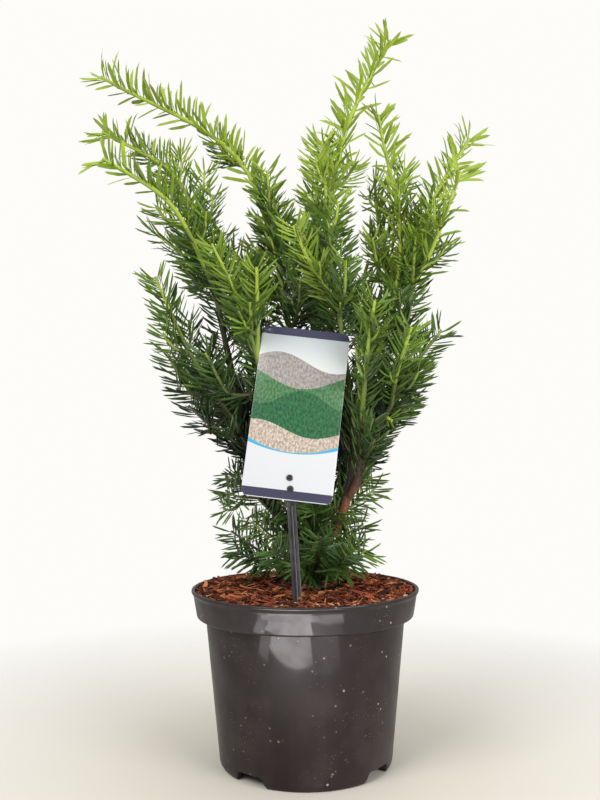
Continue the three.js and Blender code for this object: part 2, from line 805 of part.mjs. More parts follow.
function cardSolid() {
  const [halfX, halfZ] = [LABEL.cardWidth / 2, LABEL.cardHeight / 2];
  const corner = LABEL.cornerRadius;
  const outline = new THREE.Shape()
    .absarc(halfX - corner, -halfZ + corner, corner, -Math.PI / 2, 0)
    .absarc(halfX - corner, halfZ - corner, corner, 0, Math.PI / 2)
    .absarc(-halfX + corner, halfZ - corner, corner, Math.PI / 2, Math.PI)
    .absarc(-halfX + corner, -halfZ + corner, corner, Math.PI, Math.PI * 1.5);
  const back = -LABEL.stakeThickness / 2 - GAP;
  const card = new THREE.ExtrudeGeometry(outline, {
    depth: LABEL.cardThickness, bevelEnabled: false, curveSegments: LABEL.cornerSides,
  }).rotateX(Math.PI / 2).translate(0, back, 0).applyMatrix4(cardToWorld);
  const holes = LABEL.studs.map((height) => cylinder(LABEL.studRadius + GAP, LABEL.holeLength, LABEL.studSides)
    .translate(0, 0, height)
    .applyMatrix4(stakeToWorld));
  return holes.reduce((whole, hole) => whole.subtract(solidOf(hole)), solidOf(card));
}

// The channel that the stake cuts in the mulch
function stakeChannel() {
  const room = LABEL.stakeThickness + LABEL.ribHeight * 2 + GAP * 2;
  const length = LABEL.stakeDepth * 2 + LABEL.channelRise;
  return solidOf(new THREE.BoxGeometry(LABEL.stakeWidth + GAP * 2, room, length).applyMatrix4(stakeToWorld));
}

// Skeleton: the trunk first, then each mass's shoots and the bough that carries them

addLimb('trunk', curveThrough(vector(TRUNK.foot), vector(TRUNK.waist), vector(TRUNK.tip)),
  trunkRadius, TRUNK.sides, TRUNK.steps);
addLimb('pruned_stem', curveThrough(vector(PRUNED.foot), vector(PRUNED.tip)),
  taper(PRUNED.footRadius, PRUNED.tipRadius), BOUGH.sides, PRUNED.steps);

for (const mass of MASSES) {
  const curves = shootCurves(mass);
  if (mass.foot) {
    const footRadius = mass.limb === 'trunk' ? BOUGH.footRadius : BOUGH.sideFootRadius;
    const radiusAt = taper(footRadius, BOUGH.tipRadius);
    addLimb(`bough_${mass.name}`, boughCurve(mass, curves[0]), radiusAt, BOUGH.sides, BOUGH.steps);
  }
  curves.forEach((curve, i) => {
    const shoot = { ...SHOOT, mass, curve, twigsTo: mass.shoots[i].twigsTo };
    if (i) {
      addStem({ ...shoot, isSide: true, footRadius: SHOOT.sideFootRadius });
    } else {
      addStem({ ...shoot, bareFoot: mass.foot ? SHOOT.bareFoot : SHOOT.inTrunk });
    }
  });
}
for (const shoot of [...stems]) {
  growTwigs(shoot, seeded(shoot.mass.seed * 131 + Math.round(shoot.curve.getLength())));
}

// Pieces

const channel = stakeChannel();
addPiece('pot', potSolid(), FINISHES.pot);
addPiece('root_ball', rootBallSolid(), FINISHES.soil);
addPiece(
  'bark_mulch',
  largestBody(mulchSolid()
    .subtract(channel)
    .subtract(limbSolid('trunk', GAP))
    .subtract(limbSolid('pruned_stem', GAP))),
  FINISHES.mulch,
);
for (const name of limbs.keys()) {
  addPiece(name, limbBesideOthers(name), FINISHES.bark);
}
for (const mass of MASSES) {
  addPiece(`foliage_${mass.name}`, massSolid(mass), FINISHES.foliage);
}
addPiece('label_stake', stakeSolid(), FINISHES.stake);
addPiece('label_card', cardSolid(), FINISHES.card);

export default part;
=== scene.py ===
"""A young spreading yew in a round nursery pot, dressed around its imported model.

Every mesh is in metres, +Z up, with the front towards -Y. The plant's growth is worked out in
millimetres, as on the part's drawing, and is scaled as its meshes are made.
"""
import logging
import math
from dataclasses import dataclass, field
from enum import Enum
from typing import Callable, Iterable, Optional, Sequence

import bmesh
import bpy
import numpy as np
from mathutils import Matrix, Vector, noise


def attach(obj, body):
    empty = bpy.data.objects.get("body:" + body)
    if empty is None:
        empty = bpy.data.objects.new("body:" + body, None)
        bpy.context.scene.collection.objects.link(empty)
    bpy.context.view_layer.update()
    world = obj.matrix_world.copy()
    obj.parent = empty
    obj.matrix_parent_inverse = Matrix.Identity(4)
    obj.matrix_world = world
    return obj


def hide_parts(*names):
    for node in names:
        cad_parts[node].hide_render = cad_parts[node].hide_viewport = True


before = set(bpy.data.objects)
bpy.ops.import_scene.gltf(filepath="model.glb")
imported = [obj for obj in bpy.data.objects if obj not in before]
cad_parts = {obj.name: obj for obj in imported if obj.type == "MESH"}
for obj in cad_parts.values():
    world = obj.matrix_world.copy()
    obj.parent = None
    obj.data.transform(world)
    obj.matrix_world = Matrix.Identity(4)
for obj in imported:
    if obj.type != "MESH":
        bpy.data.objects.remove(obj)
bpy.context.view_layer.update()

LOG = logging.getLogger("potted_yew")
MM = 0.001
UP = np.array([0.0, 0.0, 1.0])
SIDEWAYS = np.array([1.0, 0.2, 0.0])
GOLDEN_TURN = math.radians(137.5)

Pair = tuple[float, float]
Triple = tuple[float, float, float]
Array = np.ndarray
BMesh = bmesh.types.BMesh
Material = bpy.types.Material
Socket = bpy.types.NodeSocket


# Small helpers for numbers and vectors


def lerp(first: float, last: float, share: float) -> float:
    """Gives the number at a share of the way from the first to the last."""
    return first + (last - first) * share


def unit(vectors: Array) -> Array:
    """Scales vectors, one a row, to length 1."""
    return vectors / np.maximum(np.linalg.norm(vectors, axis=-1, keepdims=True), 1e-9)


def squared_to(vectors: Array, axes: Array) -> Array:
    """Turns vectors square to axes of length 1, by the least turn."""
    return unit(vectors - axes * np.sum(vectors * axes, axis=-1, keepdims=True))


def turned_about(vector: Array, axis: Array, turn: float) -> Array:
    """Turns a vector about an axis of length 1, by an angle in radians."""
    return (
        vector * math.cos(turn)
        + np.cross(axis, vector) * math.sin(turn)
        + axis * float(np.dot(axis, vector)) * (1 - math.cos(turn))
    )


def paint(hex_colour: str) -> tuple[float, float, float, float]:
    """Turns a colour as seen on a screen, such as "4a403e", into the shader's linear numbers."""
    parts = [int(hex_colour[i:i + 2], 16) / 255 for i in (0, 2, 4)]
    return (*[p / 12.92 if p <= 0.04045 else ((p + 0.055) / 1.055) ** 2.4 for p in parts], 1.0)


class Chance:
    """A repeatable stream of numbers from 0 to 1, the same as in the part's source."""

    def __init__(self, seed: int) -> None:
        """Starts the stream. Each whole number gives another."""
        self.state = seed & 0xFFFFFFFF

    def draw(self) -> float:
        """Gives the next number, from 0 to 1."""
        self.state = (self.state + 0x6D2B79F5) & 0xFFFFFFFF
        mixed = self.state
        mixed = ((mixed ^ (mixed >> 15)) * (1 | mixed)) & 0xFFFFFFFF
        mixed = ((mixed + (((mixed ^ (mixed >> 7)) * (61 | mixed)) & 0xFFFFFFFF)) ^ mixed) & 0xFFFFFFFF
        return (mixed ^ (mixed >> 14)) / 4294967296

    def between(self, span: Sequence[float]) -> float:
        """Gives the next number, within a span."""
        return lerp(span[0], span[1], self.draw())


# Pieces and joined meshes


def linked(name: str, data: bpy.types.ID) -> bpy.types.Object:
    """Makes an object of a mesh, camera or light, and links it to the scene."""
    made = bpy.data.objects.new(name, data)
    bpy.context.scene.collection.objects.link(made)
    return made


def shade(mesh: bpy.types.Mesh, smooth_below: float) -> None:
    """Shades a mesh smooth, but for the edges that bend by more than some degrees."""
    mesh.shade_smooth()
    mesh.set_sharp_from_angle(angle=math.radians(smooth_below))


def spun(section: Sequence[Sequence[float]], sides: int) -> BMesh:
    """Spins a section about the upright axis into a closed shape.

    Args:
        section: The section's points, in metres, in the plane of the X and Z axes.
        sides: How many sides the shape has.

    Returns:
        The shape, with its faces outwards.
    """
    bm = bmesh.new()
    verts = [bm.verts.new(point) for point in section]
    edges = [bm.edges.new(pair) for pair in zip(verts, verts[1:])]
    bmesh.ops.spin(
        bm, geom=[*verts, *edges], cent=(0, 0, 0), axis=(0, 0, 1), angle=math.tau, steps=sides,
        use_merge=True,
    )
    bmesh.ops.remove_doubles(bm, verts=bm.verts, dist=1e-6)
    bmesh.ops.recalc_face_normals(bm, faces=bm.faces)
    return bm


def lengthwise(edges: Iterable[bmesh.types.BMEdge], axis: int) -> list[bmesh.types.BMEdge]:
    """Picks the edges of a shape, 1 long, that run along an axis."""
    return [edge for edge in edges if abs(edge.verts[0].co[axis] - edge.verts[1].co[axis]) > 0.5]


def add_shaft(bm: BMesh, sides: int, rings: int) -> None:
    """Adds an upright shaft, 1 long and 1 in radius, cut into rings.

    Args:
        bm: The mesh that it is added to.
        sides: How many sides it has.
        rings: How many stretches it is cut into.
    """
    made = bmesh.ops.create_cone(bm, cap_ends=True, segments=sides, radius1=1, radius2=1, depth=1)
    edges = {edge for vert in made["verts"] for edge in vert.link_edges}
    bmesh.ops.subdivide_edges(bm, edges=lengthwise(edges, 2), cuts=rings - 1, use_grid_fill=True)


def new_verts(grown: dict[str, list]) -> list[bmesh.types.BMVert]:
    """Picks the corners out of what an extrusion made."""
    return [item for item in grown["geom"] if isinstance(item, bmesh.types.BMVert)]


def thicken(bm: BMesh, faces: Sequence[bmesh.types.BMFace], depth: float) -> None:
    """Gives flat upright faces a thickness, towards the front."""
    grown = bmesh.ops.extrude_face_region(bm, geom=faces)
    bmesh.ops.translate(bm, vec=(0, -depth, 0), verts=new_verts(grown))


def soften(
    bm: BMesh, geom: Iterable[object], offset: float, segments: int = 2, affect: str = "EDGES"
) -> None:
    """Rounds edges, or corners where VERTICES is given, by an offset and in some steps."""
    bmesh.ops.bevel(
        bm, geom=list(geom), offset=offset, segments=segments, profile=0.5, affect=affect, material=-1
    )


def add_piece(
    name: str,
    mesh: bpy.types.Mesh,
    finishes: Sequence[Material],
    nodes: Sequence[str],
) -> bpy.types.Object:
    """Adds a mesh to the part as a piece that stands for some of its nodes.

    Args:
        name: The piece's name.
        mesh: Its mesh, in metres, where it belongs.
        finishes: Its materials, in the order of the mesh's material numbers.
        nodes: The nodes that it replaces.

    Returns:
        The new object.
    """
    piece = linked(name, mesh)
    for finish in finishes:
        mesh.materials.append(finish)
    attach(piece, "root")
    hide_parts(*nodes)
    triangles = sum(len(face.vertices) - 2 for face in mesh.polygons)
    LOG.info("%s: %d triangles", name, triangles)
    return piece


def mesh_of(bm: BMesh, name: str, smooth_below: float = 35.0) -> bpy.types.Mesh:
    """Turns a bmesh into a mesh, smooth but for its sharp edges, and frees it.

    Args:
        bm: The bmesh.
        name: The mesh's name.
        smooth_below: Edges that bend by more than this many degrees stay sharp.

    Returns:
        The mesh.
    """
    mesh = bpy.data.meshes.new(name)
    bm.to_mesh(mesh)
    bm.free()
    shade(mesh, smooth_below)
    return mesh


class Pattern:
    """A small closed shape that is repeated many times."""

    def __init__(self, bm: BMesh) -> None:
        """Reads the shape from a bmesh, and frees it."""
        bm.verts.ensure_lookup_table()
        bm.verts.index_update()
        self.corners = np.array([vert.co[:] for vert in bm.verts])
        self.faces = [[vert.index for vert in face.verts] for face in bm.faces]
        self.tags = np.array([face.material_index for face in bm.faces])
        bm.free()


class Gathering:
    """Copies of patterns, gathered into one mesh."""

    def __init__(self) -> None:
        """Starts with no copies."""
        self.corners: list[Array] = []
        self.loops: list[Array] = []
        self.sizes: list[Array] = []
        self.shades: list[Array] = []
        self.count = 0

    def add(self, pattern: Pattern, places: Array, shades: Array) -> None:
        """Adds copies of a pattern.

        Args:
            pattern: The shape.
            places: The copies' corners, as copies by corners by 3, in millimetres.
            shades: The material number of each face of each copy, or one for each copy.
        """
        copies, corners = places.shape[:2]
        if not copies:
            return
        loops = np.concatenate([np.array(face) for face in pattern.faces])
        starts = self.count + np.arange(copies)[:, None] * corners
        self.corners.append(places.reshape(-1, 3) * MM)
        self.loops.append((loops[None, :] + starts).ravel())
        self.sizes.append(np.tile([len(face) for face in pattern.faces], copies))
        if shades.ndim == 1:
            shades = np.repeat(shades[:, None], len(pattern.faces), axis=1)
        self.shades.append(shades.ravel())
        self.count += copies * corners

    def mesh(self, name: str, smooth_below: float = 40.0) -> bpy.types.Mesh:
        """Makes one mesh of all the copies, smooth but for edges that bend by more degrees."""
        sizes = np.concatenate(self.sizes)
        loops = np.concatenate(self.loops)
        mesh = bpy.data.meshes.new(name)
        mesh.vertices.add(self.count)
        mesh.vertices.foreach_set("co", np.concatenate(self.corners).ravel())
        mesh.loops.add(len(loops))
        mesh.loops.foreach_set("vertex_index", loops)
        mesh.polygons.add(len(sizes))
        mesh.polygons.foreach_set("loop_start", np.cumsum(sizes) - sizes)
        mesh.polygons.foreach_set("material_index", np.concatenate(self.shades).astype(np.int32))
        mesh.update(calc_edges=True)
        shade(mesh, smooth_below)
        return mesh


# Finishes


class Finish:
    """A procedural material, built up node by node."""

    def __init__(self, name: str, **values: object) -> None:
        """Starts with a plain surface.

        Args:
            name: The material's name.
            values: Numbers and colours of the shader's sockets, by their names with _ for spaces.
        """
        self.material = bpy.data.materials.new(name)
        self.material.use_nodes = True
        self.tree = self.material.node_tree
        self.shader = self.tree.nodes["Principled BSDF"]
        for socket, value in values.items():
            self.shader.inputs[socket.replace("_", " ")].default_value = value
        self.material.diffuse_color = self.shader.inputs["Base Color"].default_value

    def node(self, kind: str, inputs: dict[object, object], **settings: object) -> bpy.types.Node:
        """Adds a node.

        Args:
            kind: The node's type, without its ShaderNode.
            inputs: What goes into its sockets: an output to link, or a value.
            settings: The node's own settings.

        Returns:
            The node.
        """
        made = self.tree.nodes.new(f"ShaderNode{kind}")
        for setting, value in settings.items():
            setattr(made, setting, value)
        for socket, value in inputs.items():
            if isinstance(value, Socket):
                self.tree.links.new(value, made.inputs[socket])
            else:
                made.inputs[socket].default_value = value
        return made

    def place(self, stretch: Sequence[float] = (1, 1, 1)) -> Socket:
        """Gives Object coordinates, stretched along each axis."""
        where = self.node("TexCoord", {}).outputs["Object"]
        return self.node("Mapping", {"Vector": where, "Scale": stretch}).outputs["Vector"]

    def noise(
        self, scale: float, detail: float = 3, rough: float = 0.5, where: Optional[Socket] = None
    ) -> Socket:
        """Gives noise from 0 to 1.

        Args:
            scale: Waves a metre.
            detail: How many finer layers it has.
            rough: How strong the finer layers are.
            where: The coordinates to read, or None for Object coordinates.

        Returns:
            The noise's output.
        """
        where = where or self.place()
        values = {"Vector": where, "Scale": scale, "Detail": detail, "Roughness": rough}
        return self.node("TexNoise", values).outputs["Fac"]

    def cells(self, scale: float) -> Socket:
        """Gives the distance to the middle of the nearest of random cells, so many to a metre."""
        return self.node("TexVoronoi", {"Vector": self.place(), "Scale": scale}).outputs["Distance"]

    def height(self) -> Socket:
        """Gives the height over the floor, in metres."""
        return self.node("SeparateXYZ", {"Vector": self.place()}).outputs["Z"]

    def ramp(self, source: Socket, stops: Sequence[tuple[float, object]]) -> Socket:
        """Turns a number into a colour.

        Args:
            source: The number.
            stops: Places from 0 to 1, each with a hex colour, or with a number for a grey.

        Returns:
            The colour's output.
        """
        made = self.node("ValToRGB", {"Fac": source})
        elements = made.color_ramp.elements
        while len(elements) < len(stops):
            elements.new(0.5)
        for element, (place, colour) in zip(elements, stops):
            element.position = place
            element.color = paint(colour) if isinstance(colour, str) else (colour, colour, colour, 1)
        return made.outputs["Color"]

    def mix(self, share: object, first: object, second: object, way: str = "MIX") -> Socket:
        """Mixes two colours.

        Args:
            share: How much of the second there is, as a number or an output.
            first: A hex colour or an output.
            second: Another.
            way: How they are blended.

        Returns:
            The mixed colour's output.
        """
        made = self.node("Mix", {}, data_type="RGBA", blend_type=way)
        for socket, value in zip((made.inputs[0], made.inputs[6], made.inputs[7]), (share, first, second)):
            if isinstance(value, Socket):
                self.tree.links.new(value, socket)
            else:
                socket.default_value = paint(value) if isinstance(value, str) else value
        return made.outputs[2]

    def math(self, way: str, *values: object) -> Socket:
        """Works out a number from up to three numbers or outputs."""
        return self.node("Math", dict(enumerate(values)), operation=way).outputs[0]

    def bump(self, height: Socket, depth: float, strength: float = 1.0) -> None:
        """Gives the surface relief, this many metres deep."""
        made = self.node("Bump", {"Height": height, "Distance": depth, "Strength": strength})
        self.tree.links.new(made.outputs["Normal"], self.shader.inputs["Normal"])

    def feed(self, socket: str, source: Socket) -> None:
        """Links an output into one of the shader's sockets."""
        self.tree.links.new(source, self.shader.inputs[socket])


@dataclass(frozen=True)
class PotPlastic:
    """Dark taupe moulded plastic: glossy, faintly streaked down its wall, with pale specks of dust."""

    colour: str = "231b1c"
    streak_colour: str = "30282a"
    band_colour: str = "2c2527"
    dust_colour: str = "a39a90"
    band_foot: float = 0.1192
    wall_coat: float = 0.75
    streaking: Triple = (30, 30, 2.0)
    speck_scale: float = 150
    grit_scale: float = 420

    def make(self) -> Material:
        """Makes the material: streaks, a band of its own colour, then dust, and a coat that varies."""
        finish = Finish(
            "pot_plastic", Base_Color=paint(self.colour), Specular_IOR_Level=0.13,
            Coat_Weight=0.38, Coat_Roughness=0.07, Coat_IOR=1.45,
        )
        streaks = finish.noise(1.0, 3, 0.55, finish.place(self.streaking))
        cloud = finish.noise(24, 4, 0.6)
        shares = finish.ramp(streaks, [(0.35, 0.0), (0.7, 1.0)])
        base = finish.mix(shares, self.colour, self.streak_colour)
        is_band = finish.math("GREATER_THAN", finish.height(), self.band_foot)
        base = finish.mix(is_band, base, self.band_colour)
        specks = finish.ramp(finish.cells(self.speck_scale), [(0.1, 1.0), (0.17, 0.0)])
        patches = finish.ramp(finish.noise(34, 5, 0.75), [(0.53, 0.0), (0.6, 1.0)])
        dust = finish.math("MULTIPLY", specks, patches)
        grit = finish.ramp(finish.cells(self.grit_scale), [(0.07, 0.7), (0.14, 0.0)])
        dust = finish.math("MAXIMUM", dust, finish.math("MULTIPLY", grit, patches))
        film = finish.math("MAXIMUM", dust, finish.ramp(cloud, [(0.5, 0.0), (0.8, 0.06)]))
        finish.feed("Base Color", finish.mix(film, base, self.dust_colour))
        dulled = finish.math("MAXIMUM", cloud, dust)
        finish.feed("Roughness", finish.ramp(dulled, [(0.3, 0.4), (0.75, 0.58)]))
        coat = finish.ramp(finish.noise(44, 3, 0.6), [(0.36, 0.2), (0.6, 0.42)])
        by_place = finish.math("MULTIPLY_ADD", is_band, 1 - self.wall_coat, self.wall_coat)
        finish.feed("Coat Weight", finish.math("MULTIPLY", coat, by_place))
        finish.bump(finish.math("ADD", streaks, finish.math("MULTIPLY", dust, 2.0)), 0.0001)
        return finish.material


@dataclass(frozen=True)
class Crumbs:
    """A crumbly stuff, such as peat or shredded bark: dark gaps as painted shade where the relief is
    lowest, then paler grains.
    """

    name: str
    colours: tuple[tuple[float, str], ...]
    scale: float
    depth: float
    roughness: float

    def make(self) -> Material:
        """Makes the material."""
        finish = Finish(self.name, Roughness=self.roughness)
        crumbs = finish.noise(self.scale, 6, 0.7)
        # painted shade: the darkest colour falls where the bump's relief is lowest
        finish.feed("Base Color", finish.ramp(crumbs, self.colours))
        finish.bump(crumbs, self.depth)
        return finish.material


POTTING_SOIL = Crumbs(
    "potting_soil", ((0.3, "1b130e"), (0.55, "3a2a20"), (0.8, "5c4636")), 190, 0.002, 0.95
)
MULCH_BED = Crumbs("mulch_bed", ((0.3, "150a07"), (0.5, "3a1a10"), (0.75, "6d3320")), 210, 0.0016, 0.9)


@dataclass(frozen=True)
class BarkSkin:
    """Reddish brown bark with darker cracks and paler flakes."""

    name: str = "bark"
    cracks: str = "3c1e11"
    colour: str = "84492a"
    flakes: str = "b0713f"
    # painted shade: the heights, in metres, where the darkening starts and where it is full
    painted_shade_start: float = 0.214
    painted_shade_full: float = 0.23
    stretch: Triple = (260, 260, 60)
    blotch_scale: float = 55
    relief: float = 0.0008

    def make(self) -> Material:
        """Makes the material, with painted shade that darkens it higher up, inside the plant."""
        finish = Finish(self.name, Roughness=0.82)
        grain = finish.noise(1.0, 6, 0.68, finish.place(self.stretch))
        base = finish.ramp(grain, [(0.3, self.cracks), (0.5, self.colour), (0.72, self.flakes)])
        blotches = finish.ramp(finish.noise(self.blotch_scale, 3), [(0.35, "8a8a84"), (0.65, "ffffff")])
        base = finish.mix(0.8, base, blotches, "MULTIPLY")
        # painted shade: the bark is darkened above a height, where the crown's shade falls on it
        inside = finish.ramp(finish.height(), [(self.painted_shade_start, "ffffff"), (self.painted_shade_full, "8a8478")])
        finish.feed("Base Color", finish.mix(1.0, base, inside, "MULTIPLY"))
        finish.bump(grain, self.relief)
        return finish.material


@dataclass(frozen=True)
class PlainTint:
    """One plain colour of many small things, dealt out piece by piece."""

    name: str
    colour: str
    roughness: float = 0.5
    sheen: float = 0.5

    def make(self) -> Material:
        """Makes the material."""
        values = {"Roughness": self.roughness, "Specular_IOR_Level": self.sheen}
        return Finish(self.name, Base_Color=paint(self.colour), **values).material


@dataclass(frozen=True)
class StakePlastic:
    """Black moulded plastic, a little dusty."""

    def make(self) -> Material:
        """Makes the material."""
        finish = Finish("label_stake", Roughness=0.36)
        wear = finish.noise(120, 4, 0.6)
        finish.feed("Base Color", finish.ramp(wear, [(0.4, "1c1b1f"), (0.8, "35333a")]))
        finish.feed("Roughness", finish.ramp(wear, [(0.3, 0.28), (0.8, 0.5)]))
        finish.bump(wear, 0.00008)
        return finish.material


# Studio


@dataclass
class Studio:
    """The camera, a plain pale floor and soft lights."""

    camera_place: Triple = (-0.0033, -0.716, 0.261)
    pitch: float = math.radians(3.055)
    roll: float = math.radians(0.347)
    lens: float = 37.836
    floor_radius: float = 1.3
    floor_fade: Pair = (0.14, 0.58)
    backdrop: str = "fdfcf9"
    glow: float = 0.5
    seen_glow: float = 1.0
    floor_colour: str = "d2cdc1"
    lamps: tuple[tuple[str, Triple, Pair, float, Triple], ...] = (
        ("key", (-1.05, -1.15, 1.5), (1.0, 0.8), 26.0, (0, 0, 0.3)),
        ("fill", (1.1, -1.1, 0.6), (0.9, 0.8), 19.0, (0, 0, 0.2)),
        ("top", (0.2, 0.2, 2.0), (1.5, 1.5), 14.0, (0, 0, 0.3)),
    )
    sheen_height: float = 0.012
    sheen_tint: Triple = (1.0, 0.95, 0.97)
    sheens: tuple[tuple[str, Pair, Pair, float, float], ...] = (
        ("middle", (-0.011, -0.306), (0.134, 0.088), 0.0, 56.0),
        ("left", (-0.14, -0.278), (0.122, 0.088), -0.36, 44.0),
        ("right", (0.114, -0.278), (0.106, 0.088), 0.36, 32.0),
        ("far_middle", (-0.062, -0.233), (0.17, 0.054), -0.12, 58.0),
        ("far_left", (-0.17, -0.205), (0.045, 0.08), -0.36, 20.0),
        ("far_right", (0.08, -0.226), (0.11, 0.07), 0.25, 7.0),
    )

    def build(self) -> None:
        """Makes the camera, the floor, the world's light and the lamps.

        The sheens are low panels that only the gloss of the pot shows.
        """
        self.add_camera()
        self.add_floor()
        self.add_world()
        for name, place, size, power, aim in self.lamps:
            self.add_lamp(name, place, size, power, aim)
        for name, place, size, turn, glow in self.sheens:
            spot, power = (*place, self.sheen_height), size[0] * size[1] * glow
            lamp = self.add_lamp(f"sheen_{name}", spot, size, power, (0, 0, 0))
            lamp.data.color = self.sheen_tint
            lamp.rotation_euler = (math.pi, 0, turn)
            lamp.visible_diffuse = False
        bpy.context.scene.view_settings.view_transform = "Standard"
        LOG.info("studio: camera, floor and lamps")

    def add_camera(self) -> None:
        """Makes the camera at the photograph's place and angle."""
        data = bpy.data.cameras.new("camera")
        data.lens = self.lens
        data.sensor_width = 36.0
        camera = linked("camera", data)
        camera.matrix_world = (
            Matrix.Translation(self.camera_place)
            @ Matrix.Rotation(math.pi / 2 + self.pitch, 4, "X")
            @ Matrix.Rotation(-self.roll, 4, "Z")
        )
        bpy.context.scene.camera = camera

    def add_floor(self) -> None:
        """Makes the floor, a wide disc under the pot."""
        bm = bmesh.new()
        bmesh.ops.create_circle(bm, cap_ends=True, segments=96, radius=self.floor_radius)
        floor = linked("floor", mesh_of(bm, "floor"))
        finish = Finish("floor", Base_Color=paint(self.floor_colour), Roughness=0.8)
        from_pot = finish.node("VectorMath", {0: finish.place()}, operation="LENGTH").outputs["Value"]
        finish.feed("Alpha", finish.ramp(from_pot, [(self.floor_fade[0], 1.0), (self.floor_fade[1], 0.0)]))
        finish.bump(finish.noise(60, 3), 0.0002)
        floor.data.materials.append(finish.material)

    def add_world(self) -> None:
        """Gives the world an even pale light, softer than the backdrop that shows."""
        world = bpy.data.worlds.new("studio")
        world.use_nodes = True
        nodes, links = world.node_tree.nodes, world.node_tree.links
        output, light = nodes["World Output"], nodes["Background"]
        kinds = ("Background", "LightPath", "MixShader")
        seen, path, blend = [nodes.new(f"ShaderNode{kind}") for kind in kinds]
        for background, strength in ((light, self.glow), (seen, self.seen_glow)):
            background.inputs["Color"].default_value = paint(self.backdrop)
            background.inputs["Strength"].default_value = strength
        links.new(path.outputs["Is Camera Ray"], blend.inputs[0])
        links.new(light.outputs[0], blend.inputs[1])
        links.new(seen.outputs[0], blend.inputs[2])
        links.new(blend.outputs[0], output.inputs["Surface"])
        bpy.context.scene.world = world

    def add_lamp(self, name: str, place: Triple, size: Pair, power: float, aim: Triple) -> bpy.types.Object:
        """Makes a soft rectangular lamp.

        Args:
            name: The lamp's name.
            place: Its middle, in metres.
            size: Its sides, in metres.
            power: Its power, in watts.
            aim: The point that it faces.

        Returns:
            The lamp.
        """
        data = bpy.data.lights.new(name, "AREA")
        data.shape = "RECTANGLE"
        data.size, data.size_y = size
        data.energy = power
        lamp = linked(name, data)
        lamp.location = place
        lamp.visible_camera = False
        lamp.rotation_euler = (Vector(aim) - Vector(place)).to_track_quat("-Z", "Y").to_euler()
        return lamp


# Pot


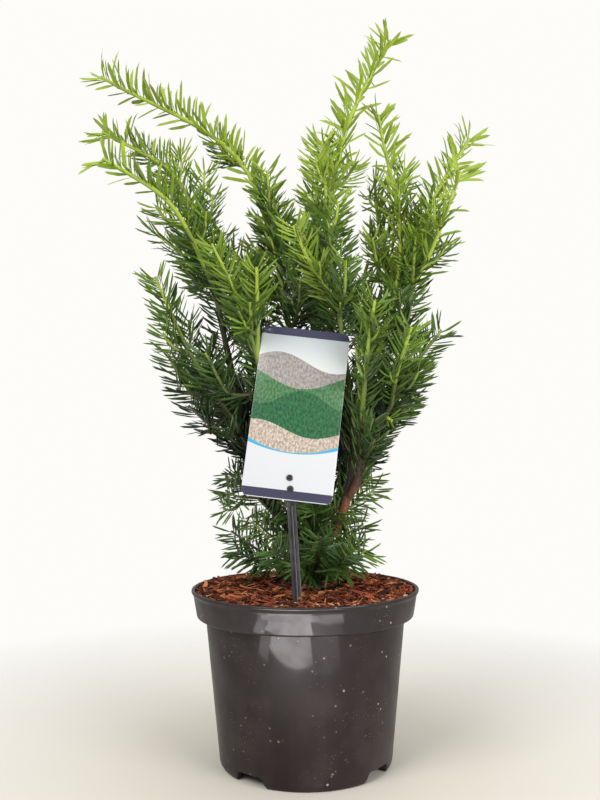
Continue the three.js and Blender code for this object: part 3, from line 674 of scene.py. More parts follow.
@dataclass
class Pot:
    """The nursery pot, in millimetres: a tapered shell with a band, a lip and a notched foot."""

    height: float = 142.0
    lip_radius: float = 95.0
    lip_height: float = 3.6
    lip_width: float = 2.9
    band_top_radius: float = 93.4
    band_foot_radius: float = 90.3
    band_height: float = 22.3
    wall_top_radius: float = 83.1
    wall_foot_radius: float = 71.3
    wall: float = 1.8
    foot_width: float = 6.5
    foot_round: float = 2.6
    floor_height: float = 9.0
    floor_thickness: float = 2.4
    boss_radius: float = 24.0
    boss_slope: float = 2.0
    notches: int = 4
    notch_depth: float = 24.0
    notch_width: float = 29.0
    notch_height: float = 8.4
    notch_slant: float = 0.12
    notch_round: float = 2.2
    notch_sunk: float = 2.2
    wall_ring: float = 13.0
    first_notch: float = math.radians(-38)
    foot_inset: float = 1.6
    cut_edge: float = 0.5
    cut_angle: float = math.radians(50)
    sides: int = 144
    arc_steps: int = 4

    @property
    def band_foot(self) -> float:
        """The height where the band starts."""
        return self.height - self.band_height

    def wall_radius(self, height: float) -> float:
        """Gives the wall's outer radius at a height."""
        return lerp(self.wall_foot_radius, self.wall_top_radius, height / self.band_foot)

    def outline(self) -> list[Triple]:
        """Gives the shell's section as corners.

        Returns:
            Each corner's radius and height, and how round it is.
        """
        inner_floor = self.floor_height + self.floor_thickness
        lip_foot = self.height - self.lip_height
        foot = self.wall_radius(0) - self.foot_inset
        return [
            (self.boss_radius, 0, 0.8),
            (self.boss_radius + self.boss_slope, self.floor_height, 0.8),
            (foot - self.foot_width - 0.8, self.floor_height, 0.8),
            (foot - self.foot_width, 0, 0.6),
            (foot, 0, 0.9),
            (self.wall_radius(self.foot_round), self.foot_round, 2.2),
            (self.wall_radius(self.wall_ring), self.wall_ring, 0.0),
            (self.wall_top_radius, self.band_foot, 1.4),
            (self.band_foot_radius, self.band_foot, 1.6),
            (self.band_top_radius, lip_foot - 0.6, 2.4),
            (self.lip_radius, lip_foot + 1.4, 1.6),
            (self.lip_radius, self.height, 1.2),
            (self.lip_radius - self.lip_width, self.height, 1.1),
            (self.band_top_radius - self.wall, lip_foot, 0.6),
            (self.band_foot_radius - self.wall, self.band_foot + self.wall, 1.0),
            (self.wall_top_radius - self.wall, self.band_foot + self.wall, 1.0),
            (self.wall_radius(inner_floor) - self.wall, inner_floor, 2.0),
            (self.boss_radius + self.boss_slope + self.wall, inner_floor, 0.8),
            (self.boss_radius + self.wall, self.floor_thickness, 0.8),
        ]

    def section(self) -> list[Vector]:
        """Rounds the corners of the shell's section.

        Returns:
            The section's points, from the axis under the floor round to the axis over it.
        """
        corners = [Vector((radius, 0, height)) for radius, height, _ in self.outline()]
        corners = [Vector((0, 0, 0)), *corners, Vector((0, 0, self.floor_thickness))]
        rounds = [0.0, *[corner[2] for corner in self.outline()], 0.0]
        points = [corners[0]]
        for before, corner, after, size in zip(corners, corners[1:], corners[2:], rounds[1:]):
            back, ahead = before - corner, after - corner
            first = corner + back.normalized() * min(size, back.length / 2.2)
            last = corner + ahead.normalized() * min(size, ahead.length / 2.2)
            for step in range(self.arc_steps + 1):
                share = step / self.arc_steps
                points.append(first.lerp(corner, share).lerp(corner.lerp(last, share), share))
        return [*points, corners[-1]]

    def build(self) -> None:
        """Spins the section into the pot, cuts its notches and adds it to the part."""
        bm = spun([point * MM for point in self.section()], self.sides)
        shell = linked("shell", mesh_of(bm, "shell"))
        cutter = self.notch_cutter()
        cut = shell.modifiers.new("notches", "BOOLEAN")
        cut.object = cutter
        cut.solver = "EXACT"
        rounding = shell.modifiers.new("rounding", "BEVEL")
        rounding.width = self.cut_edge * MM
        rounding.segments = 2
        rounding.limit_method = "ANGLE"
        rounding.angle_limit = self.cut_angle
        evaluated = shell.evaluated_get(bpy.context.evaluated_depsgraph_get())
        mesh = bpy.data.meshes.new_from_object(evaluated)
        for helper in (shell, cutter):
            bpy.data.objects.remove(helper)
        mesh.name = "pot"
        mesh.materials.clear()
        shade(mesh, 40)
        add_piece("nursery_pot", mesh, [PotPlastic().make()], ["pot"])

    def notch_cutter(self) -> bpy.types.Object:
        """Makes one object of the blocks that cut the notches, narrower and rounded at the top."""
        bm = bmesh.new()
        size = Vector((self.notch_depth, self.notch_width, self.notch_height * 2)) * MM
        out = Matrix.Translation(((self.wall_radius(0) - self.notch_sunk) * MM, 0, 0))
        for i in range(self.notches):
            turn = Matrix.Rotation(self.first_notch + i * math.tau / self.notches, 4, "Z")
            verts = bmesh.ops.create_cube(bm, size=1)["verts"]
            for vert in verts:
                vert.co.y *= 1 - self.notch_slant * (4 * vert.co.z - 0.5)
            edges = {edge for vert in verts for edge in vert.link_edges}
            tops = [edge for edge in lengthwise(edges, 0) if edge.verts[0].co.z > 0]
            bmesh.ops.transform(bm, matrix=turn @ out @ Matrix.Diagonal((*size, 1)), verts=verts)
            soften(bm, tops, self.notch_round * MM, 4)
        return linked("cutter", mesh_of(bm, "cutter"))


# Mulch


@dataclass
class Mulch:
    """The layer of shredded bark, in millimetres: a lumpy bed with loose shreds on it."""

    level: float = 139.5
    heap: float = 3.5
    lump: float = 2.2
    lumps_across: float = 0.21
    lumps_deep: float = 0.17
    lumps_askew: float = 0.4
    edge_radius: float = 90.6
    edge_drop: float = 2.5
    soil_level: float = 118.3
    rings: int = 30
    sides: int = 120
    shreds: int = 5400
    reach: float = 91.2
    gap: float = 0.3
    wall_gap: float = 0.6
    rim_width: float = 1.6
    grain_depth: float = 1.6
    grain_scale: float = 240
    large_share: float = 0.04
    large_length: Pair = (12, 22)
    large_width: Pair = (2.2, 4.2)
    length: Pair = (4.5, 15)
    width: Pair = (0.45, 1.5)
    flatness: Pair = (0.35, 0.8)
    tilt: Pair = (-0.45, 0.45)
    bank: Pair = (-0.8, 0.8)
    sunk: Pair = (-1.6, 1.6)
    pattern_seeds: tuple[int, int] = (41, 49)
    strewing_seed: int = 4100
    tints: tuple[str, ...] = ("20100a", "462113", "6f321d", "8e4528", "a86239", "be8052", "d3a578")
    tint_shares: tuple[float, ...] = (0.19, 0.18, 0.22, 0.2, 0.14, 0.055, 0.015)
    chips: tuple[tuple[float, float, float, float, float], ...] = (
        (-53, -49, 24, 4.6, -0.12),
        (-45, -42, 18, 4.0, -0.45),
        (-62, -28, 17, 5.0, 0.25),
        (13, -44, 15, 4.4, 1.2),
    )
    chip_thickness: float = 1.6
    chip_bank: float = 0.3
    chip_lift: float = 2.0
    chip_tint: int = 4

    def height(self, x: float, y: float) -> float:
        """Gives the top's height at a place: heaped a little to the middle, and lumpy."""
        out = math.hypot(x, y) / self.edge_radius
        wave = math.cos(x * self.lumps_across) * math.sin(y * self.lumps_deep + 1)
        wave += math.sin((x - y) * self.lumps_askew) / 2
        return self.level + self.heap * (1 - out * out) + self.lump * wave * (1 - out ** 6)

    def build(self, pot: Pot) -> None:
        """Makes the bed and its shreds, in the pot that holds them."""
        self.build_bed(pot)
        self.build_shreds()

    def build_bed(self, pot: Pot) -> None:
        """Spins the bed's section to fit the pot, and gives its top lumps and a rough grain."""
        shelf = pot.band_foot + pot.wall + self.gap
        in_wall = pot.wall_top_radius - pot.wall - self.wall_gap
        in_band = pot.band_foot_radius - pot.wall - self.wall_gap
        section = [(0, self.soil_level), (in_wall, self.soil_level), (in_wall, shelf), (in_band, shelf)]
        section += [(self.edge_radius, self.level - self.edge_drop)]
        inner = self.edge_radius - self.rim_width
        section += [(inner * (1 - i / self.rings), self.level) for i in range(self.rings + 1)]
        bm = spun([(radius * MM, 0, height * MM) for radius, height in section], self.sides)
        for vert in bm.verts:
            if abs(vert.co.z - self.level * MM) < 1e-5:
                x, y = vert.co.x / MM, vert.co.y / MM
                grain = noise.fractal(vert.co * self.grain_scale, 0.7, 2.2, 4)
                vert.co.z = (self.height(x, y) - self.grain_depth + self.grain_depth * grain) * MM
        add_piece("mulch_bed", mesh_of(bm, "mulch_bed"), [MULCH_BED.make()], ["bark_mulch"])

    @staticmethod
    def shred_pattern(seed: int) -> Pattern:
        """Makes one torn shred, 1 long, wide and thick: a split block bent by chance."""
        chance = Chance(seed)
        bm = bmesh.new()
        bmesh.ops.create_cube(bm, size=1)
        bmesh.ops.subdivide_edges(bm, edges=lengthwise(bm.edges, 0), cuts=2, use_grid_fill=True)
        bow = chance.between((-0.35, 0.35))
        for vert in bm.verts:
            along = vert.co.x * 2
            torn = 1 - abs(along) ** 2 * chance.between((0.35, 0.95))
            vert.co.x += chance.between((-0.09, 0.09))
            vert.co.y = vert.co.y * torn + bow * along * along + chance.between((-0.1, 0.1))
            vert.co.z = vert.co.z * (0.4 + 0.6 * torn) + chance.between((-0.12, 0.12))
        return Pattern(bm)

    def build_shreds(self) -> None:
        """Strews loose shreds over the bed, in plain tints."""
        patterns = [self.shred_pattern(seed) for seed in range(*self.pattern_seeds)]
        chance = Chance(self.strewing_seed)
        gathering = Gathering()
        limits = np.cumsum(self.tint_shares)
        batches: list[list[Array]] = [[] for _ in patterns]
        shades: list[list[int]] = [[] for _ in patterns]
        for i in range(self.shreds):
            out = math.sqrt(chance.draw()) * self.reach
            around = chance.draw() * math.tau
            is_large = chance.draw() < self.large_share
            length = chance.between(self.large_length if is_large else self.length)
            width = chance.between(self.large_width if is_large else self.width)
            thick = width * chance.between(self.flatness)
            heading = chance.draw() * math.tau
            tilt = chance.between(self.tilt)
            bank = chance.between(self.bank)
            out = min(out, self.reach - length / 2 * abs(math.cos(heading - around)))
            x, y = out * math.cos(around), out * math.sin(around)
            z = self.height(x, y) + chance.between(self.sunk)
            turn = Matrix.Rotation(heading, 3, "Z") @ Matrix.Rotation(tilt, 3, "Y")
            turn = np.array(turn @ Matrix.Rotation(bank, 3, "X"))
            kind = i % len(patterns)
            corners = patterns[kind].corners * (length, width, thick)
            batches[kind].append(corners @ turn.T + (x, y, z))
            shades[kind].append(min(int(np.searchsorted(limits, chance.draw())), len(self.tints) - 1))
        for kind, (x, y, length, width, heading) in enumerate(self.chips):
            turn = np.array(Matrix.Rotation(heading, 3, "Z") @ Matrix.Rotation(self.chip_bank, 3, "X"))
            corners = patterns[kind].corners * (length, width, self.chip_thickness)
            batches[kind].append(corners @ turn.T + (x, y, self.height(x, y) + self.chip_lift))
            shades[kind].append(self.chip_tint + kind % 2)
        for pattern, places, tints in zip(patterns, batches, shades):
            gathering.add(pattern, np.array(places), np.array(tints))
        tints = enumerate(self.tints, 1)
        finishes = [PlainTint(f"mulch_shred_{number}", tint, 0.82, 0.3).make() for number, tint in tints]
        add_piece("mulch_shreds", gathering.mesh("mulch_shreds"), finishes, ["bark_mulch"])


# Growth


class Course:
    """A smooth line through a few points, read by shares of its length, in millimetres."""

    steps = 200
    near = 0.004

    def __init__(self, points: Array) -> None:
        """Keeps points that lie close together along the line, one a row, and how far along each is."""
        self.points = points
        reach = np.concatenate([[0], np.cumsum(np.linalg.norm(np.diff(points, axis=0), axis=1))])
        self.length = float(reach[-1])
        self.shares = reach / self.length

    @classmethod
    def through(cls, *stations: Sequence[float]) -> "Course":
        """Makes a centripetal Catmull-Rom line through stations.

        Args:
            stations: The points that it passes.

        Returns:
            The line.
        """
        known = np.array(stations, float)
        if len(known) == 2:
            return cls(known[0] + (known[1] - known[0]) * np.linspace(0, 1, cls.steps + 1)[:, None])
        known = np.vstack([2 * known[0] - known[1], known, 2 * known[-1] - known[-2]])
        gaps = np.linalg.norm(np.diff(known, axis=0), axis=1) ** 0.5
        spans = len(known) - 3
        rows = []
        for t in np.linspace(0, spans, cls.steps + 1):
            i = min(int(t), spans - 1)
            w = t - i
            a, b, c, d = known[i:i + 4]
            before, here, after = gaps[i:i + 3]
            leave = ((b - a) / before - (c - a) / (before + here) + (c - b) / here) * here
            arrive = ((c - b) / here - (d - b) / (here + after) + (d - c) / after) * here
            square = -3 * b + 3 * c - 2 * leave - arrive
            cube = 2 * b - 2 * c + leave + arrive
            rows.append(b + leave * w + square * w * w + cube * w ** 3)
        return cls(np.array(rows))

    @classmethod
    def swung(cls, start: Array, early: Array, late: Array, end: Array) -> "Course":
        """Makes a cubic Bezier line of its two ends and the handles between them."""
        t = np.linspace(0, 1, cls.steps + 1)[:, None]
        s = 1 - t
        return cls(s ** 3 * start + 3 * s * s * t * early + 3 * s * t * t * late + t ** 3 * end)

    def at(self, shares: object) -> Array:
        """Gives the place at a share of the length, or a place a row for several."""
        axes = [np.interp(shares, self.shares, self.points[:, axis]) for axis in range(3)]
        return np.stack(axes, axis=-1)

    def heading(self, shares: object) -> Array:
        """Gives the direction at a share of the length, or a direction a row for several."""
        shares = np.asarray(shares, float)
        return unit(self.at(np.minimum(shares + self.near, 1)) - self.at(np.maximum(shares - self.near, 0)))


def tapering(foot_radius: float, tip_radius: float) -> Callable[[float], float]:
    """Gives a radius that changes evenly from a limb's foot to its tip."""
    return lambda along: lerp(foot_radius, tip_radius, along)


@dataclass
class Limb:
    """A trunk, bough or stump: its course, and its radius at a share of its length."""

    name: str
    course: Course
    radius_at: Callable[[float], float]
    tests: Array = field(init=False)
    radii: Array = field(init=False)

    def __post_init__(self) -> None:
        """Keeps the points and radii by which others stay clear of it."""
        shares = np.linspace(0, 1, 25)
        self.tests = self.course.at(shares)
        self.radii = np.array([self.radius_at(share) for share in shares])


@dataclass
class Shoot:
    """A main run of a mass.

    It passes a point and ends at another. Unless it is the first, it leaves that one at a share of its
    length. An open tip is a long one with sparse needles, and a trim is the length cut off the end.
    """

    waist: Triple
    tip: Triple
    leaves: Optional[float] = None
    twigs_to: float = 0.66
    open_tip: float = 0.0
    trim: float = 0.0


@dataclass
class Mass:
    """A mass of foliage: the limb that carries it, and where, its foot, its seed and its shoots."""

    name: str
    limb: str
    at: float
    seed: int
    shoots: list[Shoot]
    foot: Optional[Triple] = None
    fullness: float = 1.0

    @property
    def is_low(self) -> bool:
        """Says whether it is one of the open sprays at the plant's foot."""
        return self.name.endswith(("_foot", "_knee"))


@dataclass(frozen=True)
class Habit:
    """How side stems branch from a stem, in millimetres and shares of the stem's length."""

    foot_radius: float
    tip_radius: float
    bare_foot: float
    pace: float
    first: float
    last: float
    share_at_foot: float
    share_at_tip: float
    size: Pair
    shortest: float
    longest: float
    roll: Pair
    waist: Triple
    tip: Triple
    room: float
    seed: int
    own_room: float = 0.0


@dataclass
class Stem:
    """A shoot or twig of a mass, and what its needles need to know."""

    mass: Mass
    course: Course
    foot_radius: float
    tip_radius: float
    bare_foot: float
    order: int
    twigs_to: float = 0.66
    open_tip: float = 0.0
    trim: float = 0.0
    is_bough: bool = False
    tests: Array = field(init=False)

    def __post_init__(self) -> None:
        """Keeps the points by which others stay clear of it."""
        self.tests = self.course.at(np.linspace(0, 1, 9))


TWIG = Habit(
    foot_radius=1.9, tip_radius=1.2, bare_foot=5, pace=56, first=0.1, last=0.66, share_at_foot=0.3,
    share_at_tip=0.05, size=(0.75, 1.25), shortest=27, longest=44, roll=(1.1, 1.8),
    waist=(0.32, 0.4, 0), tip=(0.68, 0.62, 0.22), room=13, seed=131,
)
SPRIG = Habit(
    foot_radius=1.2, tip_radius=0.9, bare_foot=2, pace=17, first=0.1, last=0.92, share_at_foot=0.22,
    share_at_tip=0.06, size=(0.75, 1.25), shortest=14, longest=32, roll=(0.7, 1.9),
    waist=(0.36, 0.36, 0.04), tip=(0.72, 0.56, 0.26), room=7.5, seed=577, own_room=6,
)
LIMB_SPRIG = Habit(
    foot_radius=1.4, tip_radius=1.0, bare_foot=5, pace=9, first=0.1, last=0.97, share_at_foot=0.3,
    share_at_tip=0.3, size=(0.75, 1.25), shortest=24, longest=36, roll=(0.5, 2.2),
    waist=(0.3, 0.5, 0.05), tip=(0.56, 0.8, 0.24), room=4.5, seed=733, own_room=4.5,
)
MASSES = [
    Mass("left_top", "trunk", 1, 11, [
        Shoot((-52, -2, 503), (-169, -25, 571), open_tip=190),
        Shoot((-34, 0, 392), (-62, -4, 428), 0.2),
        Shoot((-12, 16, 425), (-22, 24, 468), 0.3),
    ], (-4, 7, 322)),
    Mass("left", "trunk", 0.55, 12, [
        Shoot((-107, 0, 489), (-173, 0, 533), twigs_to=0.45, open_tip=50),
        Shoot((-109, -38, 459), (-159, -60, 489), 0.32, open_tip=46),
        Shoot((-108, 26, 432), (-137, 38, 456), 0.3),
    ], (-58, -2, 312)),
    Mass("left_low", "bough_left", 0.5, 13, [
        Shoot((-92, -42, 336), (-117, -60, 394)),
        Shoot((-88, -24, 300), (-114, -22, 338), 0.25),
        Shoot((-74, -44, 275), (-98, -54, 292), 0.12, trim=24),
    ], (-52, -26, 272)),
    Mass("front_left", "trunk", 0.78, 14, [
        Shoot((-50, -42, 372), (-73, -52, 422)),
        Shoot((-37, -42, 361), (-37, -56, 402), 0.3),
        Shoot((-58, -44, 302), (-76, -70, 332), 0.12),
    ], (-27, -33, 288)),
    Mass("top", "trunk", 0.48, 15, [
        Shoot((24, -24, 418), (16, -30, 513)),
        Shoot((40, -16, 535), (76, -6, 610), 0.74, 0, 130),
        Shoot((8, -30, 406), (-8, -38, 440), 0.36),
    ], (38, -32, 300)),
    Mass("right_high", "trunk", 0.66, 16, [
        Shoot((84, 0, 425), (65, -10, 543), open_tip=62),
        Shoot((69, 26, 450), (65, 30, 499), 0.42),
        Shoot((58, 26, 372), (54, 40, 414), 0.2),
    ], (52, 4, 300)),
    Mass("right", "bough_right_high", 0.72, 17, [
        Shoot((111, 4, 466), (147, 10, 529), open_tip=95),
        Shoot((108, -22, 425), (131, -31, 486), 0.36, open_tip=75),
    ], (78, -10, 312)),
    Mass("right_low", "bough_top", 0.55, 18, [
        Shoot((88, -28, 322), (113, -32, 354)),
        Shoot((74, -52, 318), (84, -66, 352), 0.3),
        Shoot((82, -40, 276), (96, -46, 294), 0.2, trim=38),
    ], (56, -28, 264)),
    Mass("front_right", "bough_top", 0.45, 19, [
        Shoot((50, -56, 334), (56, -60, 374)),
    ], (46, -47, 280)),
    Mass("front_foot", "trunk", 0.28, 20, [
        Shoot((10, -34, 168), (12, -62, 190)),
        Shoot((-10, -44, 168), (-26, -58, 180), 0.35),
        Shoot((32, -40, 166), (48, -50, 178), 0.35),
    ], fullness=1.5),
    Mass("left_foot", "trunk", 0.36, 21, [
        Shoot((-36, -8, 172), (-69, -14, 196), trim=10),
        Shoot((-44, 10, 164), (-68, 16, 172), 0.3, trim=10),
    ]),
    Mass("left_knee", "trunk", 0.44, 22, [
        Shoot((-40, -14, 218), (-84, -16, 256), trim=28),
        Shoot((-58, -22, 220), (-74, -26, 232), 0.55, trim=12),
    ], fullness=0.75),
    Mass("right_foot", "trunk", 0.34, 23, [
        Shoot((34, -4, 180), (56, -10, 202), trim=10),
        Shoot((38, 10, 170), (54, 22, 176), 0.4, trim=8),
    ], fullness=0.8),
    Mass("right_knee", "trunk", 0.5, 24, [
        Shoot((38, -2, 216), (62, -8, 240), trim=8),
        Shoot((50, 14, 214), (74, 26, 232), 0.4, trim=16),
    ], fullness=0.75),
    Mass("back_left_high", "trunk", 0.86, 25, [
        Shoot((-64, 58, 398), (-106, 88, 466)),
        Shoot((-38, 58, 392), (-44, 84, 452), 0.3),
    ], (-34, 36, 300)),
    Mass("back_high", "bough_left_top", 0.4, 26, [
        Shoot((12, 52, 434), (14, 74, 530), open_tip=60),
        Shoot((-2, 84, 396), (-12, 104, 440), 0.36),
    ], (6, 40, 318)),
    Mass("back_right_high", "trunk", 0.9, 27, [
        Shoot((78, 58, 402), (112, 86, 476)),
        Shoot((52, 84, 370), (56, 112, 420), 0.3),
    ], (44, 40, 296)),
    Mass("back_left_low", "bough_back_left_high", 0.55, 28, [
        Shoot((-78, 52, 292), (-108, 62, 334)),
        Shoot((-56, 84, 292), (-66, 104, 330), 0.3),
    ], (-40, 46, 250)),
    Mass("back_low", "trunk", 0.6, 29, [
        Shoot((2, 84, 290), (-4, 108, 338)),
        Shoot((26, 78, 262), (38, 98, 286), 0.3),
    ], (4, 48, 236)),
    Mass("back_right_low", "bough_back_right_high", 0.5, 30, [
        Shoot((86, 46, 294), (108, 50, 336)),
        Shoot((72, 74, 286), (86, 94, 318), 0.3),
    ], (52, 40, 246)),
    Mass("back_foot", "trunk", 0.42, 31, [
        Shoot((2, 38, 178), (2, 70, 200)),
        Shoot((-24, 46, 176), (-46, 58, 192), 0.35),
        Shoot((26, 50, 178), (44, 64, 196), 0.35),
    ]),
]


# Label


@dataclass
class Label:
    """The picture label, in millimetres: a card on a ribbed stake, held by two studs."""

    entry: Triple = (-6, -74, 141.8)
    lean_back: float = math.radians(11)
    card_width: float = 71.5
    card_height: float = 140.0
    card_thickness: float = 1.1
    corner_radius: float = 6.0
    card_middle: float = 147.0
    card_turn: float = math.radians(7)
    stake_turn: float = math.radians(-3.5)
    stake_width: float = 7.0
    stake_thickness: float = 1.8
    stake_top: float = 105.0
    stake_depth: float = 23.0
    point_length: float = 13.0
    rib_width: float = 2.4
    rib_height: float = 1.1
    rib_end: float = 4.0
    studs: Pair = (86.4, 95.1)
    stud_radius: float = 1.9
    head_radius: float = 2.7
    head_thickness: float = 1.1
    gap: float = 0.3
    room: float = 5.0
    stake_edge: float = 0.35
    head_edge: float = 0.3
    head_taper: float = 0.72
    card_edge: float = 0.18
    edge_colour: str = "f2f2f4"

    @property
    def to_world(self) -> Matrix:
        """The place and lean of the whole label."""
        return Matrix.Translation(self.entry) @ Matrix.Rotation(-self.lean_back, 4, "X")

    @property
    def stake_to_world(self) -> Matrix:
        """The place of the stake."""
        return self.to_world @ Matrix.Rotation(self.stake_turn, 4, "Y")

    @property
    def card_to_world(self) -> Matrix:
        """The place of the card's middle."""
        middle = Matrix.Translation((0, 0, self.card_middle))
        return self.to_world @ middle @ Matrix.Rotation(self.card_turn, 4, "Y")

    def is_clear(self, point: Array) -> bool:
        """Says whether a point is outside the space in front of the card and round its stake."""
        return bool(self.are_clear(np.array(point, float)[None, :], self.room)[0])

    def are_clear(self, points: Array, room: float) -> Array:
        """Says for points, one a row, whether they are outside the card and stake by some room.

        Args:
            points: The points.
            room: The room to keep, in millimetres.

        Returns:
            True for each point that is clear.
        """
        back = np.array(self.to_world.inverted())
        local = points @ back[:3, :3].T + back[:3, 3]
        beside = np.abs(local[:, 0] - local[:, 2] * math.sin(self.stake_turn))
        on_stake = (beside < self.stake_width / 2 + room) & (local[:, 2] < self.stake_top)
        turn = np.array(Matrix.Rotation(-self.card_turn, 3, "Y"))
        card = (local - (0, 0, self.card_middle)) @ turn.T
        on_card = (np.abs(card[:, 0]) < self.card_width / 2 + room / 2) & (
            np.abs(card[:, 2]) < self.card_height / 2 + room / 2
        )
        return ~((on_stake | on_card) & (local[:, 1] < room))

    def build(self) -> None:
        """Makes the stake and the card."""
        self.build_stake()
        self.build_card()

    def build_stake(self) -> None:
        """Makes the flat stake with its point, its rounded rib and its two studs."""
        bm = bmesh.new()
        half = self.stake_width / 2
        foot = -self.stake_depth
        shoulder = foot + self.point_length
        outline = [(-half, shoulder), (0, foot), (half, shoulder)]
        outline += [(half, self.stake_top), (-half, self.stake_top)]
        face = bm.faces.new([bm.verts.new((x, self.stake_thickness / 2, z)) for x, z in outline])
        thicken(bm, [face], self.stake_thickness)
        soften(bm, bm.edges, self.stake_edge)
        rib_top = self.card_middle - self.card_height / 2 - self.rib_end
        front = -self.stake_thickness / 2
        at_rib = Matrix.Translation((0, front, (rib_top + shoulder) / 2))
        flatten = Matrix.Diagonal((1, 2 * self.rib_height / self.rib_width, 1, 1))
        bmesh.ops.create_cone(
            bm, cap_ends=True, segments=20, radius1=self.rib_width / 2, radius2=self.rib_width / 2,
            depth=rib_top - shoulder, matrix=at_rib @ flatten,
        )
        through = self.card_thickness + self.gap * 2
        for height in self.studs:
            stand = Matrix.Rotation(math.pi / 2, 4, "X")
            bmesh.ops.create_cone(
                bm, cap_ends=True, segments=24, radius1=self.stud_radius, radius2=self.stud_radius,
                depth=through + 1, matrix=Matrix.Translation((0, front - through / 2, height)) @ stand,
            )
            at_head = Matrix.Translation((0, front - through - self.head_thickness / 2, height))
            head = bmesh.ops.create_cone(
                bm, cap_ends=True, segments=28, radius1=self.head_radius,
                radius2=self.head_radius * self.head_taper, depth=self.head_thickness,
                matrix=at_head @ stand,
            )
            soften(bm, {edge for vert in head["verts"] for edge in vert.link_edges}, self.head_edge)
        bmesh.ops.transform(bm, matrix=Matrix.Scale(MM, 4) @ self.stake_to_world, verts=bm.verts)
        bmesh.ops.recalc_face_normals(bm, faces=bm.faces)
        add_piece("stake", mesh_of(bm, "stake"), [StakePlastic().make()], ["label_stake"])

    def build_card(self) -> None:
        """Makes the card with round corners and its print."""
        bm = bmesh.new()
        bmesh.ops.create_grid(bm, x_segments=1, y_segments=1, size=0.5)
        size = Matrix.Diagonal((self.card_width, self.card_height, 1, 1))
        bmesh.ops.transform(bm, matrix=Matrix.Rotation(math.pi / 2, 4, "X") @ size, verts=bm.verts)
        soften(bm, bm.verts, self.corner_radius, 10, "VERTICES")
        thicken(bm, list(bm.faces), self.card_thickness)
        bmesh.ops.translate(bm, vec=(0, -self.stake_thickness / 2 - self.gap, 0), verts=bm.verts)
        bmesh.ops.recalc_face_normals(bm, faces=bm.faces)
        rims = [edge for edge in bm.edges if abs(edge.verts[0].co.y - edge.verts[1].co.y) < 1e-4]
        soften(bm, rims, self.card_edge)
        across = bm.loops.layers.uv.new("card")
        for face in bm.faces:
            is_front = face.normal.y < -0.5
            face.material_index = 0 if is_front else 1
            for loop in face.loops:
                place = loop.vert.co
                loop[across].uv = (place.x / self.card_width + 0.5, place.z / self.card_height + 0.5)
        bmesh.ops.transform(bm, matrix=Matrix.Scale(MM, 4) @ self.card_to_world, verts=bm.verts)
        finishes = [CardPrint().make(), PlainTint("card_edge", self.edge_colour, 0.35).make()]
        add_piece("card", mesh_of(bm, "card"), finishes, ["label_card"])


@dataclass(frozen=True)
class Hill:
    """A hill on the card, in shares of the card's height, with its dark and its light tint."""

    height: float
    swell: float
    waves: float
    start: float
    shade: str
    light: str


@dataclass(frozen=True)
class CardPrint:
    """The card's print: two dark bands, a made-up view of hills, a thin blue curve and a white field."""

    band: str = "3c3a52"
    field: str = "d3d4d8"
    curve: str = "3fa7cf"
    band_foot: float = 0.054
    rim: float = 0.0045
    band_top: float = 0.952
    curve_level: float = 0.262
    curve_sag: float = 0.045
    curve_width: float = 0.006
    curve_swell: float = 0.36
    sky: tuple[tuple[float, str], ...] = ((0.7, "dedfdc"), (0.95, "b4bcc0"))
    hills: tuple[Hill, ...] = (
        Hill(0.8, 0.05, 5.0, 0.4, "857b78", "aaa6a0"),
        Hill(0.7, 0.06, 4.2, 2.6, "34603f", "5a8755"),
        Hill(0.58, 0.05, 6.3, 4.4, "1c4a30", "357345"),
        Hill(0.4, 0.04, 5.1, 1.2, "9c8b7c", "d3c6b8"),
    )

    def make(self) -> Material:
        """Makes the material."""
        finish = Finish("card_print", Roughness=0.22, Coat_Weight=0.3, Coat_Roughness=0.12)
        sheet = finish.node("UVMap", {}, uv_map="card").outputs["UV"]
        parts = finish.node("SeparateXYZ", {"Vector": sheet})
        across, up = parts.outputs["X"], parts.outputs["Y"]
        centred = finish.math("SUBTRACT", across, 0.5)
        bowl = finish.math("MULTIPLY", finish.math("MULTIPLY", centred, centred), self.curve_sag * 4)
        level = finish.math("ADD", bowl, self.curve_level)
        view = self.paint_view(finish, sheet, across, up)
        over_curve = finish.math("GREATER_THAN", up, level)
        stripe = finish.math("MULTIPLY_ADD", bowl, self.curve_swell, self.curve_width)
        over_stripe = finish.math("GREATER_THAN", up, finish.math("ADD", level, stripe))
        colour = finish.mix(over_curve, self.field, self.curve)
        colour = finish.mix(over_stripe, colour, view)
        foot = finish.math("LESS_THAN", up, self.band_foot)
        foot = finish.math("MULTIPLY", foot, finish.math("GREATER_THAN", up, self.rim))
        bands = finish.math("MAXIMUM", foot, finish.math("GREATER_THAN", up, self.band_top))
        finish.feed("Base Color", finish.mix(bands, colour, self.band))
        finish.bump(finish.noise(900, 2), 0.00002)
        return finish.material

    def paint_view(self, finish: Finish, sheet: Socket, across: Socket, up: Socket) -> Socket:
        """Paints rounded hills, one behind another, under a pale sky.

        Args:
            finish: The material.
            sheet: The card's coordinates.
            across: The share across the card.
            up: The share up the card.

        Returns:
            The picture's colour.
        """
        leaves = finish.noise(46, 4, 0.65, sheet)
        colour = finish.ramp(up, self.sky)
        for hill in self.hills:
            roll = finish.math("SINE", finish.math("MULTIPLY_ADD", across, hill.waves, hill.start))
            ridge = finish.math("MULTIPLY_ADD", roll, hill.swell, hill.height)
            inside = finish.math("LESS_THAN", up, ridge)
            tone = finish.ramp(leaves, [(0.4, hill.shade), (0.62, hill.light)])
            colour = finish.mix(inside, colour, tone)
        return colour


# Skeleton


